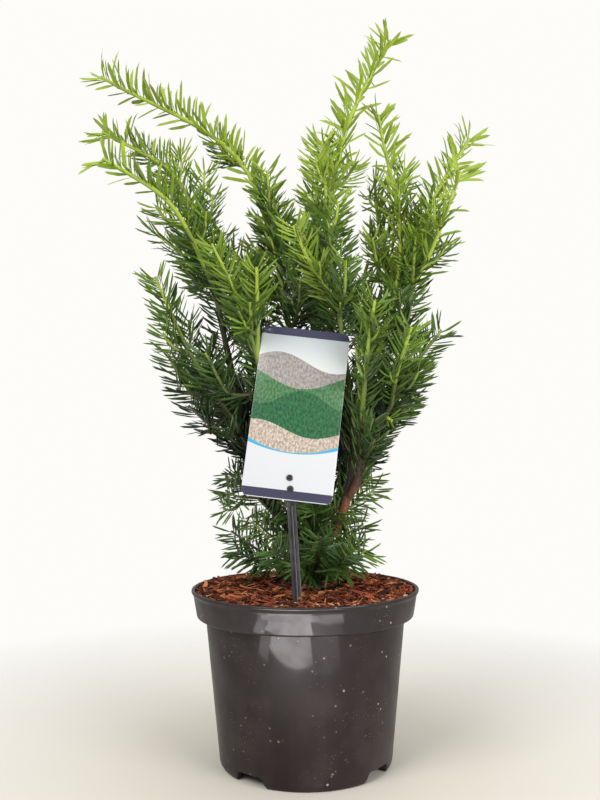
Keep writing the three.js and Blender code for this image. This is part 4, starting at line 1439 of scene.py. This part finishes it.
@dataclass
class Skeleton:
    """The plant's limbs and stems, grown by the same rule and seeds as the part's solids."""

    label: Label
    pot: Pot
    mulch: Mulch
    limbs: dict[str, Limb] = field(default_factory=dict)
    stems: list[Stem] = field(default_factory=list)
    gap: float = 0.3
    trunk_foot: Triple = (5, 3, 113)
    trunk_waist: Triple = (7, 1, 172)
    trunk_tip: Triple = (2, 4, 226)
    flare_radius: float = 19.0
    stem_radius: float = 9.6
    fork_radius: float = 5.4
    flare_height: float = 14.0
    stump_foot: Triple = (35, 14, 113)
    stump_tip: Triple = (33, 9, 161)
    stump_radii: Pair = (6.2, 4.4)
    bough_foot_radius: float = 4.6
    side_bough_radius: float = 3.7
    bough_tip_radius: float = 2.8
    limb_room: float = 3.0
    clothed_above: float = 185.0
    clothed_lower: float = 25.0
    bare_share: float = 0.25
    bare_share_in_front: float = 0.6
    mulch_room: float = 5.0
    bare_tip: float = 22.0
    bough_swing: float = 0.4
    shoot_radii: Triple = (2.6, 2.3, 1.3)
    shoot_bare: Triple = (14, 20, 8)
    trunk_sprigs: int = 28
    trunk_sprig_seed: int = 8123
    trunk_sprig_span: Pair = (0.3, 0.95)
    trunk_sprig_reach: Pair = (24, 42)
    trunk_sprig_rise: Pair = (-0.12, 0.3)
    trunk_sprig_room: float = 5.5

    def trunk_radius(self, along: float) -> float:
        """Gives the trunk's radius at a share of its length, opened by its root flare."""
        height = along * (self.trunk_tip[2] - self.trunk_foot[2])
        flare = (self.flare_radius - self.stem_radius) * math.exp(-height / self.flare_height)
        return lerp(self.stem_radius, self.fork_radius, along) + flare

    def grow(self) -> None:
        """Grows the trunk and the stump, then each mass's shoots with its bough, then twigs and sprigs."""
        trunk = Course.through(self.trunk_foot, self.trunk_waist, self.trunk_tip)
        self.limbs["trunk"] = Limb("trunk", trunk, self.trunk_radius)
        stump = Course.through(self.stump_foot, self.stump_tip)
        self.limbs["pruned_stem"] = Limb("pruned_stem", stump, tapering(*self.stump_radii))
        for mass in MASSES:
            self.grow_mass(mass)
        for shoot in list(self.stems):
            chance = Chance(shoot.mass.seed * TWIG.seed + int(shoot.course.length + 0.5))
            self.branch(shoot, TWIG, chance, min(shoot.twigs_to, TWIG.last))
        for stem in list(self.stems):
            if stem.mass.is_low and stem.mass.fullness <= 1:
                continue
            chance = Chance(stem.mass.seed * SPRIG.seed + int(stem.course.length * 10))
            last = min(SPRIG.last, 1 - max(self.bare_tip, stem.open_tip) / stem.course.length)
            if last > SPRIG.first + 0.1:
                self.branch(stem, SPRIG, chance, last)
        self.clothe_limbs()
        for stem in [stem for stem in self.stems if stem.trim]:
            kept = 1 - stem.trim / stem.course.length
            cut = stem.course.at(np.linspace(kept, 1, 60)[1:])
            stem.course = Course(stem.course.at(np.linspace(0, kept, 80)))
            self.drop_on(cut, stem)
        LOG.info("skeleton: %d limbs and %d stems", len(self.limbs), len(self.stems))

    def drop_on(self, cut: Array, but: Stem) -> None:
        """Takes away the stems that leave a part that is cut off, and what leaves them in turn.

        Args:
            cut: Points along that part.
            but: The stem that it was cut from, which stays.
        """
        gaps = [np.min(np.linalg.norm(cut - stem.course.at(0.0), axis=1)) for stem in self.stems]
        gone = [stem for stem, gap in zip(self.stems, gaps) if stem is not but and gap < 1.0]
        self.stems = [stem for stem, gap in zip(self.stems, gaps) if stem is but or gap >= 1.0]
        for stem in gone:
            self.drop_on(stem.course.at(np.linspace(0.05, 1, 60)), stem)

    def clothe_limbs(self) -> None:
        """Grows sprigs on the boughs, and all round the trunk, where their needles hide the wood."""
        masses = {mass.name: mass for mass in MASSES}
        for name, limb in self.limbs.items():
            if name.startswith("bough_"):
                mass = masses[name.removeprefix("bough_")]
                stem = Stem(mass, self.clothed_course(limb), 2.8, 2.8, 0, 1)
                self.branch(stem, LIMB_SPRIG, Chance(mass.seed * LIMB_SPRIG.seed), LIMB_SPRIG.last)
        trunk = self.limbs["trunk"].course
        feet = [mass for mass in MASSES if mass.is_low]
        ways = [unit(np.array(foot.shoots[0].tip) * (1, 1, 0)) for foot in feet]
        chance = Chance(self.trunk_sprig_seed)
        for i in range(self.trunk_sprigs):
            start = trunk.at(lerp(*self.trunk_sprig_span, (i + chance.draw()) / self.trunk_sprigs))
            turn = i * GOLDEN_TURN + chance.between((-0.3, 0.3))
            outward = np.array([math.cos(turn), math.sin(turn), 0.0])
            reach = chance.between(self.trunk_sprig_reach)
            reach *= 1 - 0.35 * abs(outward[0]) + 0.25 * max(0, -outward[1])
            mass = feet[int(np.argmax([float(np.dot(way, outward)) for way in ways]))]
            waist = start + reach * (outward * 0.5 + UP * 0.06)
            tip = start + reach * (outward + UP * chance.between(self.trunk_sprig_rise))
            course = Course.through(start, waist, tip)
            own = [stem for stem in self.stems if stem.mass is mass]
            has_room = self.is_free(tip) and self.distance(tip, own) > self.trunk_sprig_room
            if has_room and self.label.is_clear(waist):
                self.stems.append(Stem(mass, course, 1.5, 1.0, 16, 1))

    def clothed_course(self, limb: Limb) -> Course:
        """Gives the course of a bough's outer part, clear of the foot, that bears sprigs and needles."""
        bare = self.bare_share_in_front if limb.name == "bough_top" else self.bare_share
        points = limb.course.at(np.linspace(bare, 1, 40))
        is_lower = limb.name in ("bough_left_low", "bough_front_left")
        above = self.clothed_above - self.clothed_lower * is_lower
        return Course(points[points[:, 2] > min(above, points[-6, 2])])

    def clothed_boughs(self) -> list[Stem]:
        """Gives the outer part of each bough as a stem, for the needles that it bears itself."""
        stems = []
        for mass in MASSES:
            limb = self.limbs.get(f"bough_{mass.name}")
            if limb:
                stems.append(Stem(mass, self.clothed_course(limb), 3.4, 2.8, 0, 1, is_bough=True))
        return stems

    def grow_mass(self, mass: Mass) -> None:
        """Grows a mass's bough, if it has one, and its shoots."""
        courses: list[Course] = []
        for shoot in mass.shoots:
            waist = np.array(shoot.waist, float)
            if shoot.leaves is not None:
                start = courses[0].at(shoot.leaves)
            elif mass.foot:
                start = np.array(mass.foot, float)
                start = start + unit(waist - start) * self.gap
            else:
                start = self.limbs[mass.limb].course.at(mass.at)
            courses.append(Course.through(start, waist, shoot.tip))
        if mass.foot:
            foot_radius = self.bough_foot_radius if mass.limb == "trunk" else self.side_bough_radius
            taper = tapering(foot_radius, self.bough_tip_radius)
            name = f"bough_{mass.name}"
            self.limbs[name] = Limb(name, self.bough_course(mass, courses[0]), taper)
        main_radius, side_radius, tip_radius = self.shoot_radii
        bare_on_bough, bare_on_trunk, bare_side = self.shoot_bare
        for i, (shoot, course) in enumerate(zip(mass.shoots, courses)):
            radius = side_radius if i else main_radius
            bare = bare_side if i else bare_on_bough if mass.foot else bare_on_trunk
            self.stems.append(Stem(
                mass, course, radius, tip_radius, bare, 0, shoot.twigs_to, shoot.open_tip, shoot.trim
            ))

    def bough_course(self, mass: Mass, first: Course) -> Course:
        """Swings a bough out from its limb, to end in line with the shoot that it carries.

        Args:
            mass: The mass that it carries.
            first: The mass's first shoot.

        Returns:
            The bough's course.
        """
        limb = self.limbs[mass.limb].course
        start, end = limb.at(mass.at), np.array(mass.foot, float)
        outward = unit((end - start) * (1, 1, 0))
        swing = float(np.linalg.norm(end - start)) * self.bough_swing
        early = limb.heading(mass.at) * 0.6 + outward * 0.8
        return Course.swung(start, start + early * swing, end - first.heading(0) * swing, end)

    def is_free(self, point: Array) -> bool:
        """Says whether a point is clear of label, pot, mulch and limbs."""
        inside = math.hypot(point[0], point[1]) < self.pot.lip_radius + self.mulch_room
        floor = self.mulch.height(point[0], point[1]) + self.mulch_room if inside else self.pot.height
        if point[2] <= floor or not self.label.is_clear(point):
            return False
        return all(
            np.all(np.linalg.norm(limb.tests - point, axis=1) > limb.radii + self.limb_room)
            for limb in self.limbs.values()
        )

    def distance(self, point: Array, stems: Sequence[Stem]) -> float:
        """Gives the distance from a point to the nearest of some stems, without end for none."""
        if not stems:
            return math.inf
        starts = np.concatenate([stem.tests[:-1] for stem in stems])
        runs = np.concatenate([stem.tests[1:] for stem in stems]) - starts
        shares = np.sum((point - starts) * runs, axis=1) / np.sum(runs * runs, axis=1)
        nearest = starts + runs * np.clip(shares, 0, 1)[:, None]
        return float(np.min(np.linalg.norm(nearest - point, axis=1)))

    def branch(self, parent: Stem, habit: Habit, chance: Chance, last: float) -> None:
        """Branches side stems off a stem, to alternate sides. One with no room is left out.

        Args:
            parent: The stem.
            habit: How they branch.
            chance: The stream that their places and sizes are drawn from.
            last: The share of the stem past which there are none.
        """
        course = parent.course
        bearing = last - habit.first
        count = math.floor(course.length * bearing / habit.pace) + 1
        for i in range(count):
            along = habit.first + (i + chance.draw() * 0.7) * bearing / count
            start, forward = course.at(along), course.heading(along)
            side = 1 if i % 2 else -1
            flat = unit(np.cross(forward, UP))
            outward = turned_about(flat, forward, parent.mass.seed + side * chance.between(habit.roll))
            share = lerp(habit.share_at_foot, habit.share_at_tip, along)
            size = share * course.length * chance.between(habit.size)
            reach = min(max(size, habit.shortest), habit.longest)
            waist, tip = [
                start + reach * (forward * step[0] + outward * step[1] + UP * step[2])
                for step in (habit.waist, habit.tip)
            ]
            side_course = Course.through(start, waist, tip)
            tests = [waist, tip, side_course.at(0.75)]
            if not all(self.is_free(point) for point in tests):
                continue
            others = [stem for stem in self.stems if stem.mass is not parent.mass]
            own = [stem for stem in self.stems if stem.mass is parent.mass and stem is not parent]
            if any(self.distance(point, others) <= habit.room for point in tests):
                continue
            if habit.own_room and any(self.distance(point, own) <= habit.own_room for point in tests[:2]):
                continue
            self.stems.append(Stem(
                parent.mass, side_course, habit.foot_radius, habit.tip_radius, habit.bare_foot,
                parent.order + 1,
            ))


# Bark and needles


@dataclass
class Wood:
    """The bark meshes of trunk, stump and boughs, with real relief."""

    skeleton: Skeleton
    sides: tuple[int, int] = (48, 18)
    ring_pace: Pair = (1.8, 3.0)
    relief: Pair = (0.9, 0.3)
    ridges: Triple = (0.45, 0.45, 0.11)
    # painted shade: a darker copy of the bark, for the limbs inside the crown
    shaded: BarkSkin = BarkSkin("bark_shaded", "1a110b", "3b281b", "59402b")

    def build(self) -> None:
        """Makes a mesh for the trunk, one for the stump, one for the boughs behind and one for the three
        front boughs.
        """
        limbs = self.skeleton.limbs
        bark, shaded = BarkSkin().make(), self.shaded.make()
        front = ["bough_top", "bough_right_low", "bough_front_right"]
        boughs = [name for name in limbs if name.startswith("bough_") and name not in front]
        groups = {"trunk_bark": ["trunk"], "pruned_stem_bark": ["pruned_stem"], "bough_bark": boughs}
        groups["front_bough_bark"] = front
        for piece, names in groups.items():
            bm = bmesh.new()
            for name in names:
                self.add_limb(bm, limbs[name])
            # painted shade: the trunk, the stump and the boughs behind take the darker copy; the three
            # front boughs keep the plain bark
            finish = bark if piece == "front_bough_bark" else shaded
            add_piece(piece, mesh_of(bm, piece, 60), [finish], names)

    def add_limb(self, bm: BMesh, limb: Limb) -> None:
        """Adds a limb to a mesh: an upright shaft whose rings are moved onto its course and roughened."""
        kind = 0 if limb.name in ("trunk", "pruned_stem") else 1
        depth, soil = self.relief[kind], self.skeleton.mulch.soil_level
        known = len(bm.verts)
        add_shaft(bm, self.sides[kind], max(8, int(limb.course.length / self.ring_pace[kind])))
        bm.verts.ensure_lookup_table()
        for vert in bm.verts[known:]:
            along = min(max(vert.co.z + 0.5, 0.0), 1.0)
            place, forward = limb.course.at(along), limb.course.heading(along)
            normal = squared_to(SIDEWAYS, forward)
            across = np.cross(forward, normal)
            around = unit(across * vert.co.x + normal * vert.co.y)
            radius = limb.radius_at(along)
            spot = Vector(place + around * radius)
            spot = Vector([part * scale for part, scale in zip(spot, self.ridges)])
            ridge = noise.fractal(spot, 0.8, 2.1, 4)
            place = place + around * (radius + depth * (ridge - 0.15))
            place[2] = max(place[2], soil)
            vert.co = Vector(place) * MM


class Shade(Enum):
    """The needles' plain greens, from the darkest to the lightest: older growth and painted shade, up to
    newer growth and painted light.
    """

    DEEP = "0e1f07"
    DARK = "1b320d"
    OLD = "2f4a14"
    MIDDLE = "46621c"
    FRESH = "5e7b23"
    LIGHT = "77922b"
    NEW = "90a634"


@dataclass(frozen=True)
class Ageing:
    """How new and how lit the growth looks along the stems, from 0 to 1, part real age and part painted
    light and shade: what adds to it, in millimetres and shares.
    """

    height_from: float = 175.0
    height_run: float = 330.0
    height_power: float = 1.2
    reach: float = 120.0
    # painted light and shade: lighter to the front and to the right, darker to the back, over these
    # distances
    front: float = 80.0
    front_limits: Pair = (-1.0, 0.7)
    right: float = 80.0
    tip_run: float = 85.0
    open_tip_run: float = 1.3
    twig_tip_run: float = 20.0
    spray_change: float = 0.1
    least: float = 0.05
    # partly newer growth, partly painted light: lighter higher up and further out
    by_height: float = 0.5
    by_reach: float = 0.14
    front_painted_light: float = 0.04
    right_painted_light: float = 0.26
    by_tip: float = 0.44
    by_order: float = -0.08
    on_bough: float = 0.2
    foot_painted_light: float = 0.46

    def newness(self, stem: Stem, shares: Array) -> Array:
        """Gives how new the growth is at places along a stem.

        It is newer towards tips. It is lighter higher up and further out, partly as newer growth and partly
        as painted light, with painted shade low and inside. It is lighter to the front, to the right and at
        the foot, and darker to the back, as painted light and shade.

        Args:
            stem: The stem.
            shares: The places along it.

        Returns:
            The newness at each place.
        """
        places = stem.course.at(shares)
        is_low = stem.mass.is_low
        height = np.clip((places[:, 2] - self.height_from) / self.height_run, 0, 1)
        out = np.clip(np.hypot(places[:, 0], places[:, 1]) / self.reach, 0, 1)
        front = np.clip(-places[:, 1] / self.front, *self.front_limits)
        right = np.clip(places[:, 0] / self.right, 0, 1) * (1 - height) * (not is_low)
        run = max(self.tip_run, stem.open_tip * self.open_tip_run) if stem.order == 0 else self.twig_tip_run
        tip = np.exp(-(1 - shares) * stem.course.length / run)
        chance = np.random.default_rng(stem.mass.seed * 31 + int(stem.course.length * 7))
        # lighter high and far out: partly newer growth, partly painted light and shade
        age = self.least + self.by_height * height ** self.height_power + self.by_reach * out * height
        # painted light to the front, painted shade to the back
        age = age + self.front_painted_light * front
        # painted light at the foot and to the right
        age = age + self.foot_painted_light * is_low + self.on_bough * stem.is_bough + self.right_painted_light * right
        age = age + self.by_tip * tip * height + self.by_order * stem.order
        return np.clip(age + chance.normal(0, self.spray_change), 0, 1)


@dataclass
class Foliage:
    """Needles and green stems on every stem of the skeleton, in millimetres."""

    skeleton: Skeleton
    length: Pair = (19.5, 25.5)
    width: Pair = (1.55, 2.1)
    low_width: float = 0.95
    wide_from: float = 215.0
    wide_run: float = 130.0
    thickness: float = 0.7
    old_pace: float = 1.28
    new_pace: float = 1.6
    bough_pace: float = 0.75
    bough_spread: Pair = (0.35, 0.85)
    open_fade: Pair = (0.35, 55.0)
    spread: Pair = (0.8, 1.15)
    open_spread: Pair = (0.7, 1.05)
    tip_spread: Pair = (0.25, 1.3)
    comb: float = 0.72
    foot_comb: float = 0.88
    tip_comb: float = 0.9
    comb_run: float = 10.0
    raise_run: float = 14.0
    upward: float = 0.75
    lift: float = 0.22
    sag_lift: float = 0.6
    bow_loss: float = 0.75
    curl: float = 0.25
    curl_change: Pair = (0.5, 1.4)
    bow_curl: float = 0.7
    foot_size: float = 0.92
    order_sizes: Triple = (1, 0.92, 0.82)
    open_size: Pair = (-0.12, 0.3)
    open_width: Pair = (0.3, 0.9)
    tip_run: float = 9.0
    tip_pace: float = 0.9
    close_run: float = 6.0
    tip_shrink: float = 0.18
    first_size: float = 0.7
    growing_run: float = 40.0
    pace_change: Pair = (0.7, 1.3)
    scatter: float = 0.08
    roll_scatter: float = 0.45
    bend_scatter: float = 0.3
    tint_scatter: float = 0.45
    half_spread: float = 130.0
    front_from: float = 25.0
    front_pull: float = 1.7
    bowing_at_foot: float = 0.8
    label_room: float = 1.5
    shaded: str = "34502f"
    underside: str = "697a48"
    foot_cooling: float = 0.4
    ageing: Ageing = Ageing()
    twig_ages: tuple[float, ...] = (0.2, 0.34, 0.48, 0.62)
    twig_tints: tuple[str, ...] = ("2e2c18", "47491f", "62742d", "879b39", "a5ba40")
    stations: tuple[Pair, ...] = ((0.0, 0.34), (0.1, 0.5), (0.36, 1.0), (0.82, 0.82))

    def needle_pattern(self) -> Pattern:
        """Makes a needle, 1 long, wide and thick: rings of four corners, drawn to a point.

        Returns:
            The needle, whose faces are tagged 0 above and 1 below.
        """
        bm = bmesh.new()
        upright = Matrix.Rotation(math.pi / 2, 4, "Y")
        made = bmesh.ops.create_circle(bm, cap_ends=True, segments=4, radius=0.5, matrix=upright)
        place, wide = self.stations[0]
        bmesh.ops.scale(bm, vec=(1, wide, wide), verts=made["verts"])
        end = bm.faces[:][0]
        for station, width in [*self.stations[1:], (1.0, 0.02)]:
            grown = bmesh.ops.extrude_face_region(bm, geom=[end], use_keep_orig=place == 0.0)
            verts = new_verts(grown)
            end = next(item for item in grown["geom"] if isinstance(item, bmesh.types.BMFace))
            bmesh.ops.scale(bm, vec=(1, width / wide, width / wide), verts=verts)
            bmesh.ops.translate(bm, vec=(station - place, 0, 0), verts=verts)
            place, wide = station, width
        bmesh.ops.pointmerge(bm, verts=verts, merge_co=(1, 0, 0))
        bmesh.ops.recalc_face_normals(bm, faces=bm.faces)
        for face in bm.faces:
            face.material_index = 0 if face.normal.z > 0 else 1
        return Pattern(bm)

    def build(self) -> None:
        """Grows needles on all the stems and adds them to the part, in a few pieces."""
        pattern = self.needle_pattern()
        finishes, foot_finishes = self.make_finishes(0.0), self.make_finishes(self.foot_cooling)
        groups: dict[str, list[str]] = {
            "left_high": ["left_top", "left"],
            "left_low": ["left_low", "front_left"],
            "middle": ["top", "back_high"],
            "right": ["right_high", "right"],
            "right_low": ["right_low", "front_right"],
            "foot": ["front_foot", "left_foot", "left_knee", "right_foot", "right_knee", "back_foot"],
            "back": ["back_left_high", "back_right_high", "back_left_low", "back_low", "back_right_low"],
        }
        for group, names in groups.items():
            gathering = Gathering()
            for stem in [*self.skeleton.stems, *self.skeleton.clothed_boughs()]:
                if stem.mass.name in names:
                    gathering.add(pattern, *self.needles(stem, pattern))
            piece, nodes = f"needles_{group}", [f"foliage_{name}" for name in names]
            chosen = foot_finishes if group == "foot" else finishes
            add_piece(piece, gathering.mesh(piece), chosen, nodes)
        self.build_twigs([f"foliage_{mass.name}" for mass in MASSES])

    @staticmethod
    def blend(colour: str, other: str, share: float) -> str:
        """Mixes two colours written as hexadecimal digits."""
        pairs = [(int(colour[i:i + 2], 16), int(other[i:i + 2], 16)) for i in (0, 2, 4)]
        return "".join(f"{int(lerp(part, aim, share)):02x}" for part, aim in pairs)

    def make_finishes(self, cool: float) -> list[Material]:
        """Makes the finishes of the needles' upper sides, then those of their paler undersides.

        Args:
            cool: How far they are cooled to the shaded green of the foot, from 0 to 1.

        Returns:
            The finishes, in the order of the shades.
        """
        name = "cool_needle" if cool else "needle"
        tints = {tone.name.lower(): self.blend(tone.value, self.shaded, cool) for tone in Shade}
        upper = [PlainTint(f"{name}_{key}", tint, 0.45, 0.26) for key, tint in tints.items()]
        under = [
            PlainTint(f"{name}_under_{key}", self.blend(tint, self.underside, 0.25), 0.6, 0.25)
            for key, tint in tints.items()
        ]
        return [finish.make() for finish in [*upper, *under]]

    def facing(self, places: Array) -> Array:
        """Gives the way that the crown faces at places: outwards, and forwards in its front half."""
        level = places * (1 / self.half_spread, 1 / self.half_spread, 0)
        level[:, 1] += np.where(places[:, 1] < self.front_from, -self.front_pull, 0.0)
        return unit(level + UP * 0.25)

    def fade_length(self, stem: Stem) -> float:
        """Gives the length over which an open tip passes into the dense part of its stem."""
        return max(stem.open_tip * self.open_fade[0], self.open_fade[1])

    def paces(self, stem: Stem, chance: np.random.Generator) -> Array:
        """Gives the places of a stem's needles along it, in millimetres from its foot.

        Args:
            stem: The stem.
            chance: The stream that their gaps are drawn from.

        Returns:
            The places.
        """
        length = stem.course.length
        places, at = [], min(stem.bare_foot, 3.0)
        while at < length - 0.6:
            to_tip = length - at
            pace = self.bough_pace if stem.is_bough else self.old_pace / stem.mass.fullness
            if stem.open_tip:
                fade = min(max(to_tip - stem.open_tip, 0) / self.fade_length(stem), 1)
                pace = lerp(self.new_pace, self.old_pace, fade)
            if to_tip < self.tip_run:
                pace = self.tip_pace
            places.append(at)
            at += pace * chance.uniform(*self.pace_change)
        return np.array(places)

    def needles(self, stem: Stem, pattern: Pattern) -> tuple[Array, Array]:
        """Grows the needles of one stem.

        Args:
            stem: The stem.
            pattern: The needle's shape.

        Returns:
            The needles' corners, and the material number of each face.
        """
        chance = np.random.default_rng(stem.mass.seed * 1009 + int(stem.course.length * 100))
        length = stem.course.length
        places = self.paces(stem, chance)
        count = len(places)
        if not count:
            return np.zeros((0, len(pattern.corners), 3)), np.zeros((0, len(pattern.faces)), int)
        shares = places / length
        to_tip = (1 - shares) * length
        centre, forward = stem.course.at(shares), stem.course.heading(shares)
        facing = self.facing(centre)
        leading = np.zeros(count)
        if stem.open_tip:
            leading = np.clip(1 - (to_tip - stem.open_tip) / self.fade_length(stem), 0, 1)
        turns = np.arange(count) * GOLDEN_TURN + chance.uniform(-0.5, 0.5, count)
        is_low = stem.mass.is_low
        comb = self.foot_comb if is_low else self.comb
        comb = lerp(comb, self.tip_comb, np.exp(-to_tip / self.comb_run)) * (not stem.is_bough)
        raised = leading * (1 - np.exp(-to_tip / self.raise_run))
        outward = self.outwards(forward, facing, turns, raised, comb)
        bowing = np.maximum(leading, self.bowing_at_foot * is_low)
        near_tip = np.exp(-to_tip / self.close_run)
        old_spread = self.bough_spread if stem.is_bough else self.spread
        spread = lerp(chance.uniform(*old_spread, count), chance.uniform(*self.open_spread, count), leading)
        spread = spread * (1 - near_tip) + chance.uniform(*self.tip_spread, count) * near_tip
        direction = forward * np.cos(spread)[:, None] + outward * np.sin(spread)[:, None]
        level = 1 - np.abs(forward[:, 2])
        sagging = np.maximum(0, -outward[:, 2]) * np.sin(spread)
        direction[:, 2] += level * (self.lift + sagging * self.sag_lift) * (1 - bowing * self.bow_loss)
        direction = unit(direction + chance.normal(0, self.scatter, (count, 3)))
        sizes = chance.uniform(*self.length, count) * (1 - self.tip_shrink * near_tip)
        sizes *= np.clip(self.first_size + places / self.growing_run, self.first_size, 1)
        sizes *= self.order_sizes[min(stem.order, 2)] * (self.foot_size if is_low else 1)
        sizes *= 1 + leading * chance.uniform(*self.open_size, count)
        normal = facing * 1.2 + forward * 0.25 + chance.normal(0, self.roll_scatter, (count, 3))
        normal = squared_to(normal, direction)
        side = np.cross(normal, direction)
        radius = lerp(stem.foot_radius, stem.tip_radius, shares)
        root = centre + outward * (radius * 0.55)[:, None]
        bend = UP * 0.4 + forward * (0.45 - 1.05 * bowing)[:, None]
        bend = bend + chance.normal(0, self.bend_scatter, (count, 3))
        bend -= direction * np.sum(bend * direction, axis=1, keepdims=True)
        height = np.clip((centre[:, 2] - self.wide_from) / self.wide_run, 0, 1)
        widths = chance.uniform(*self.width, count) * lerp(self.low_width, 1, height)
        widths *= 1 + leading * chance.uniform(*self.open_width, count)
        curls = sizes * self.curl * chance.uniform(*self.curl_change, count) * (1 + self.bow_curl * bowing)
        x, y, z = pattern.corners.T
        corners = (
            root[:, None, :]
            + direction[:, None, :] * (sizes[:, None] * (x - 0.06 * x * x))[:, :, None]
            + side[:, None, :] * (widths[:, None] * y)[:, :, None]
            + normal[:, None, :] * (self.thickness * z)[None, :, None]
            + bend[:, None, :] * (curls[:, None] * (x * x - 0.15 * x))[:, :, None]
        )
        keep = self.fits(corners)
        # the tint follows newness, which carries painted light and shade as well as age
        tint = self.ageing.newness(stem, shares) * len(Shade) - 0.5
        tint = tint + chance.normal(0, self.tint_scatter, count)
        tint = np.clip(np.round(tint), 0, len(Shade) - 1)
        shades = tint[:, None] + pattern.tags[None, :] * len(Shade)
        return corners[keep], shades[keep].astype(int)

    def outwards(self, forward: Array, facing: Array, turns: Array, leading: Array, comb: Array) -> Array:
        """Gives the sides of a stem that its needles stand on.

        Most stand all round, combed a little to the two sides that the crown's face shows. Those at the
        tip of a long leaning shoot stand on its upper side.

        Args:
            forward: The stem's direction at each needle.
            facing: The way that the crown faces there.
            turns: Each needle's turn about the stem.
            leading: How much each belongs to a long shoot's tip, from 0 to 1.
            comb: How far each of the others is combed to two sides, from 0 to 1.

        Returns:
            A direction a row, square to the stem.
        """
        across = unit(np.cross(forward, facing))
        outer = np.cross(across, forward)
        cosines, sines = np.cos(turns)[:, None], np.sin(turns)[:, None]
        combed = unit(across * cosines + outer * (sines * (1 - comb)[:, None] + 0.12))
        up = squared_to(UP, forward)
        beside = np.cross(forward, up)
        lean = np.sqrt(np.maximum(0, 1 - forward[:, 2] ** 2))
        pull = self.upward * np.clip(lean / 0.35, 0, 1)
        raised = unit(beside * cosines + up * (sines + pull[:, None]))
        return unit(lerp(combed, raised, leading[:, None]))

    def fits(self, corners: Array) -> Array:
        """Says which needles, by their corners, keep clear of the label, the mulch and the pot."""
        skeleton = self.skeleton
        flat = corners.reshape(-1, 3)
        clear = skeleton.label.are_clear(flat, self.label_room)
        inside = np.hypot(flat[:, 0], flat[:, 1]) < skeleton.pot.lip_radius + 2
        clear &= flat[:, 2] > np.where(inside, skeleton.mulch.level, 0)
        return clear.reshape(corners.shape[:2]).all(axis=1)

    def build_twigs(self, nodes: Sequence[str]) -> None:
        """Makes the stems themselves, in place of some nodes: brown where old, green where new."""
        patterns = [self.twig_pattern(sides, rings) for sides, rings in ((8, 20), (6, 8))]
        gathering = Gathering()
        for stem in self.skeleton.stems:
            pattern, middles = patterns[min(stem.order, 1)]
            along = np.clip(pattern.corners[:, 2] + 0.5, 0, 1)
            centre, forward = stem.course.at(along), stem.course.heading(along)
            normal = squared_to(SIDEWAYS, forward)
            across = np.cross(forward, normal)
            radius = lerp(stem.foot_radius, stem.tip_radius, along)
            radius = radius * (0.6 if stem.mass.is_low else 1.05 if stem.open_tip else 0.9)
            knots = np.sin(along * stem.course.length * 1.7 + pattern.corners[:, 0] * 3) * 0.12 + 1
            places = centre + (radius * knots)[:, None] * (
                across * pattern.corners[:, :1] + normal * pattern.corners[:, 1:2]
            )
            # the stem's tint follows newness, which carries painted light and shade as well as age
            newness = self.ageing.newness(stem, middles) - 0.2 * stem.mass.is_low
            gathering.add(pattern, places[None], np.digitize(newness, self.twig_ages)[None])
        tints = enumerate(self.twig_tints, 1)
        finishes = [PlainTint(f"stem_{number}", tint, 0.55, 0.4).make() for number, tint in tints]
        add_piece("twigs", gathering.mesh("twigs", 60), finishes, nodes)

    @staticmethod
    def twig_pattern(sides: int, rings: int) -> tuple[Pattern, Array]:
        """Makes an upright shaft, 1 long, of some sides and rings.

        Returns:
            The pattern, and how far along it each face lies.
        """
        bm = bmesh.new()
        add_shaft(bm, sides, rings)
        middles = np.array([face.calc_center_median().z + 0.5 for face in bm.faces])
        return Pattern(bm), middles


def main() -> None:
    """Builds the studio, the pot, the mulch, the plant and the label."""
    logging.basicConfig(level=logging.INFO, format="%(name)s: %(message)s")
    Studio().build()
    pot = Pot()
    pot.build()
    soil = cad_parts["root_ball"]
    soil.data.materials.clear()
    soil.data.materials.append(POTTING_SOIL.make())
    mulch = Mulch()
    mulch.build(pot)
    label = Label()
    label.build()
    skeleton = Skeleton(label, pot, mulch)
    skeleton.grow()
    Wood(skeleton).build()
    Foliage(skeleton).build()


if __name__ == "__main__":
    main()
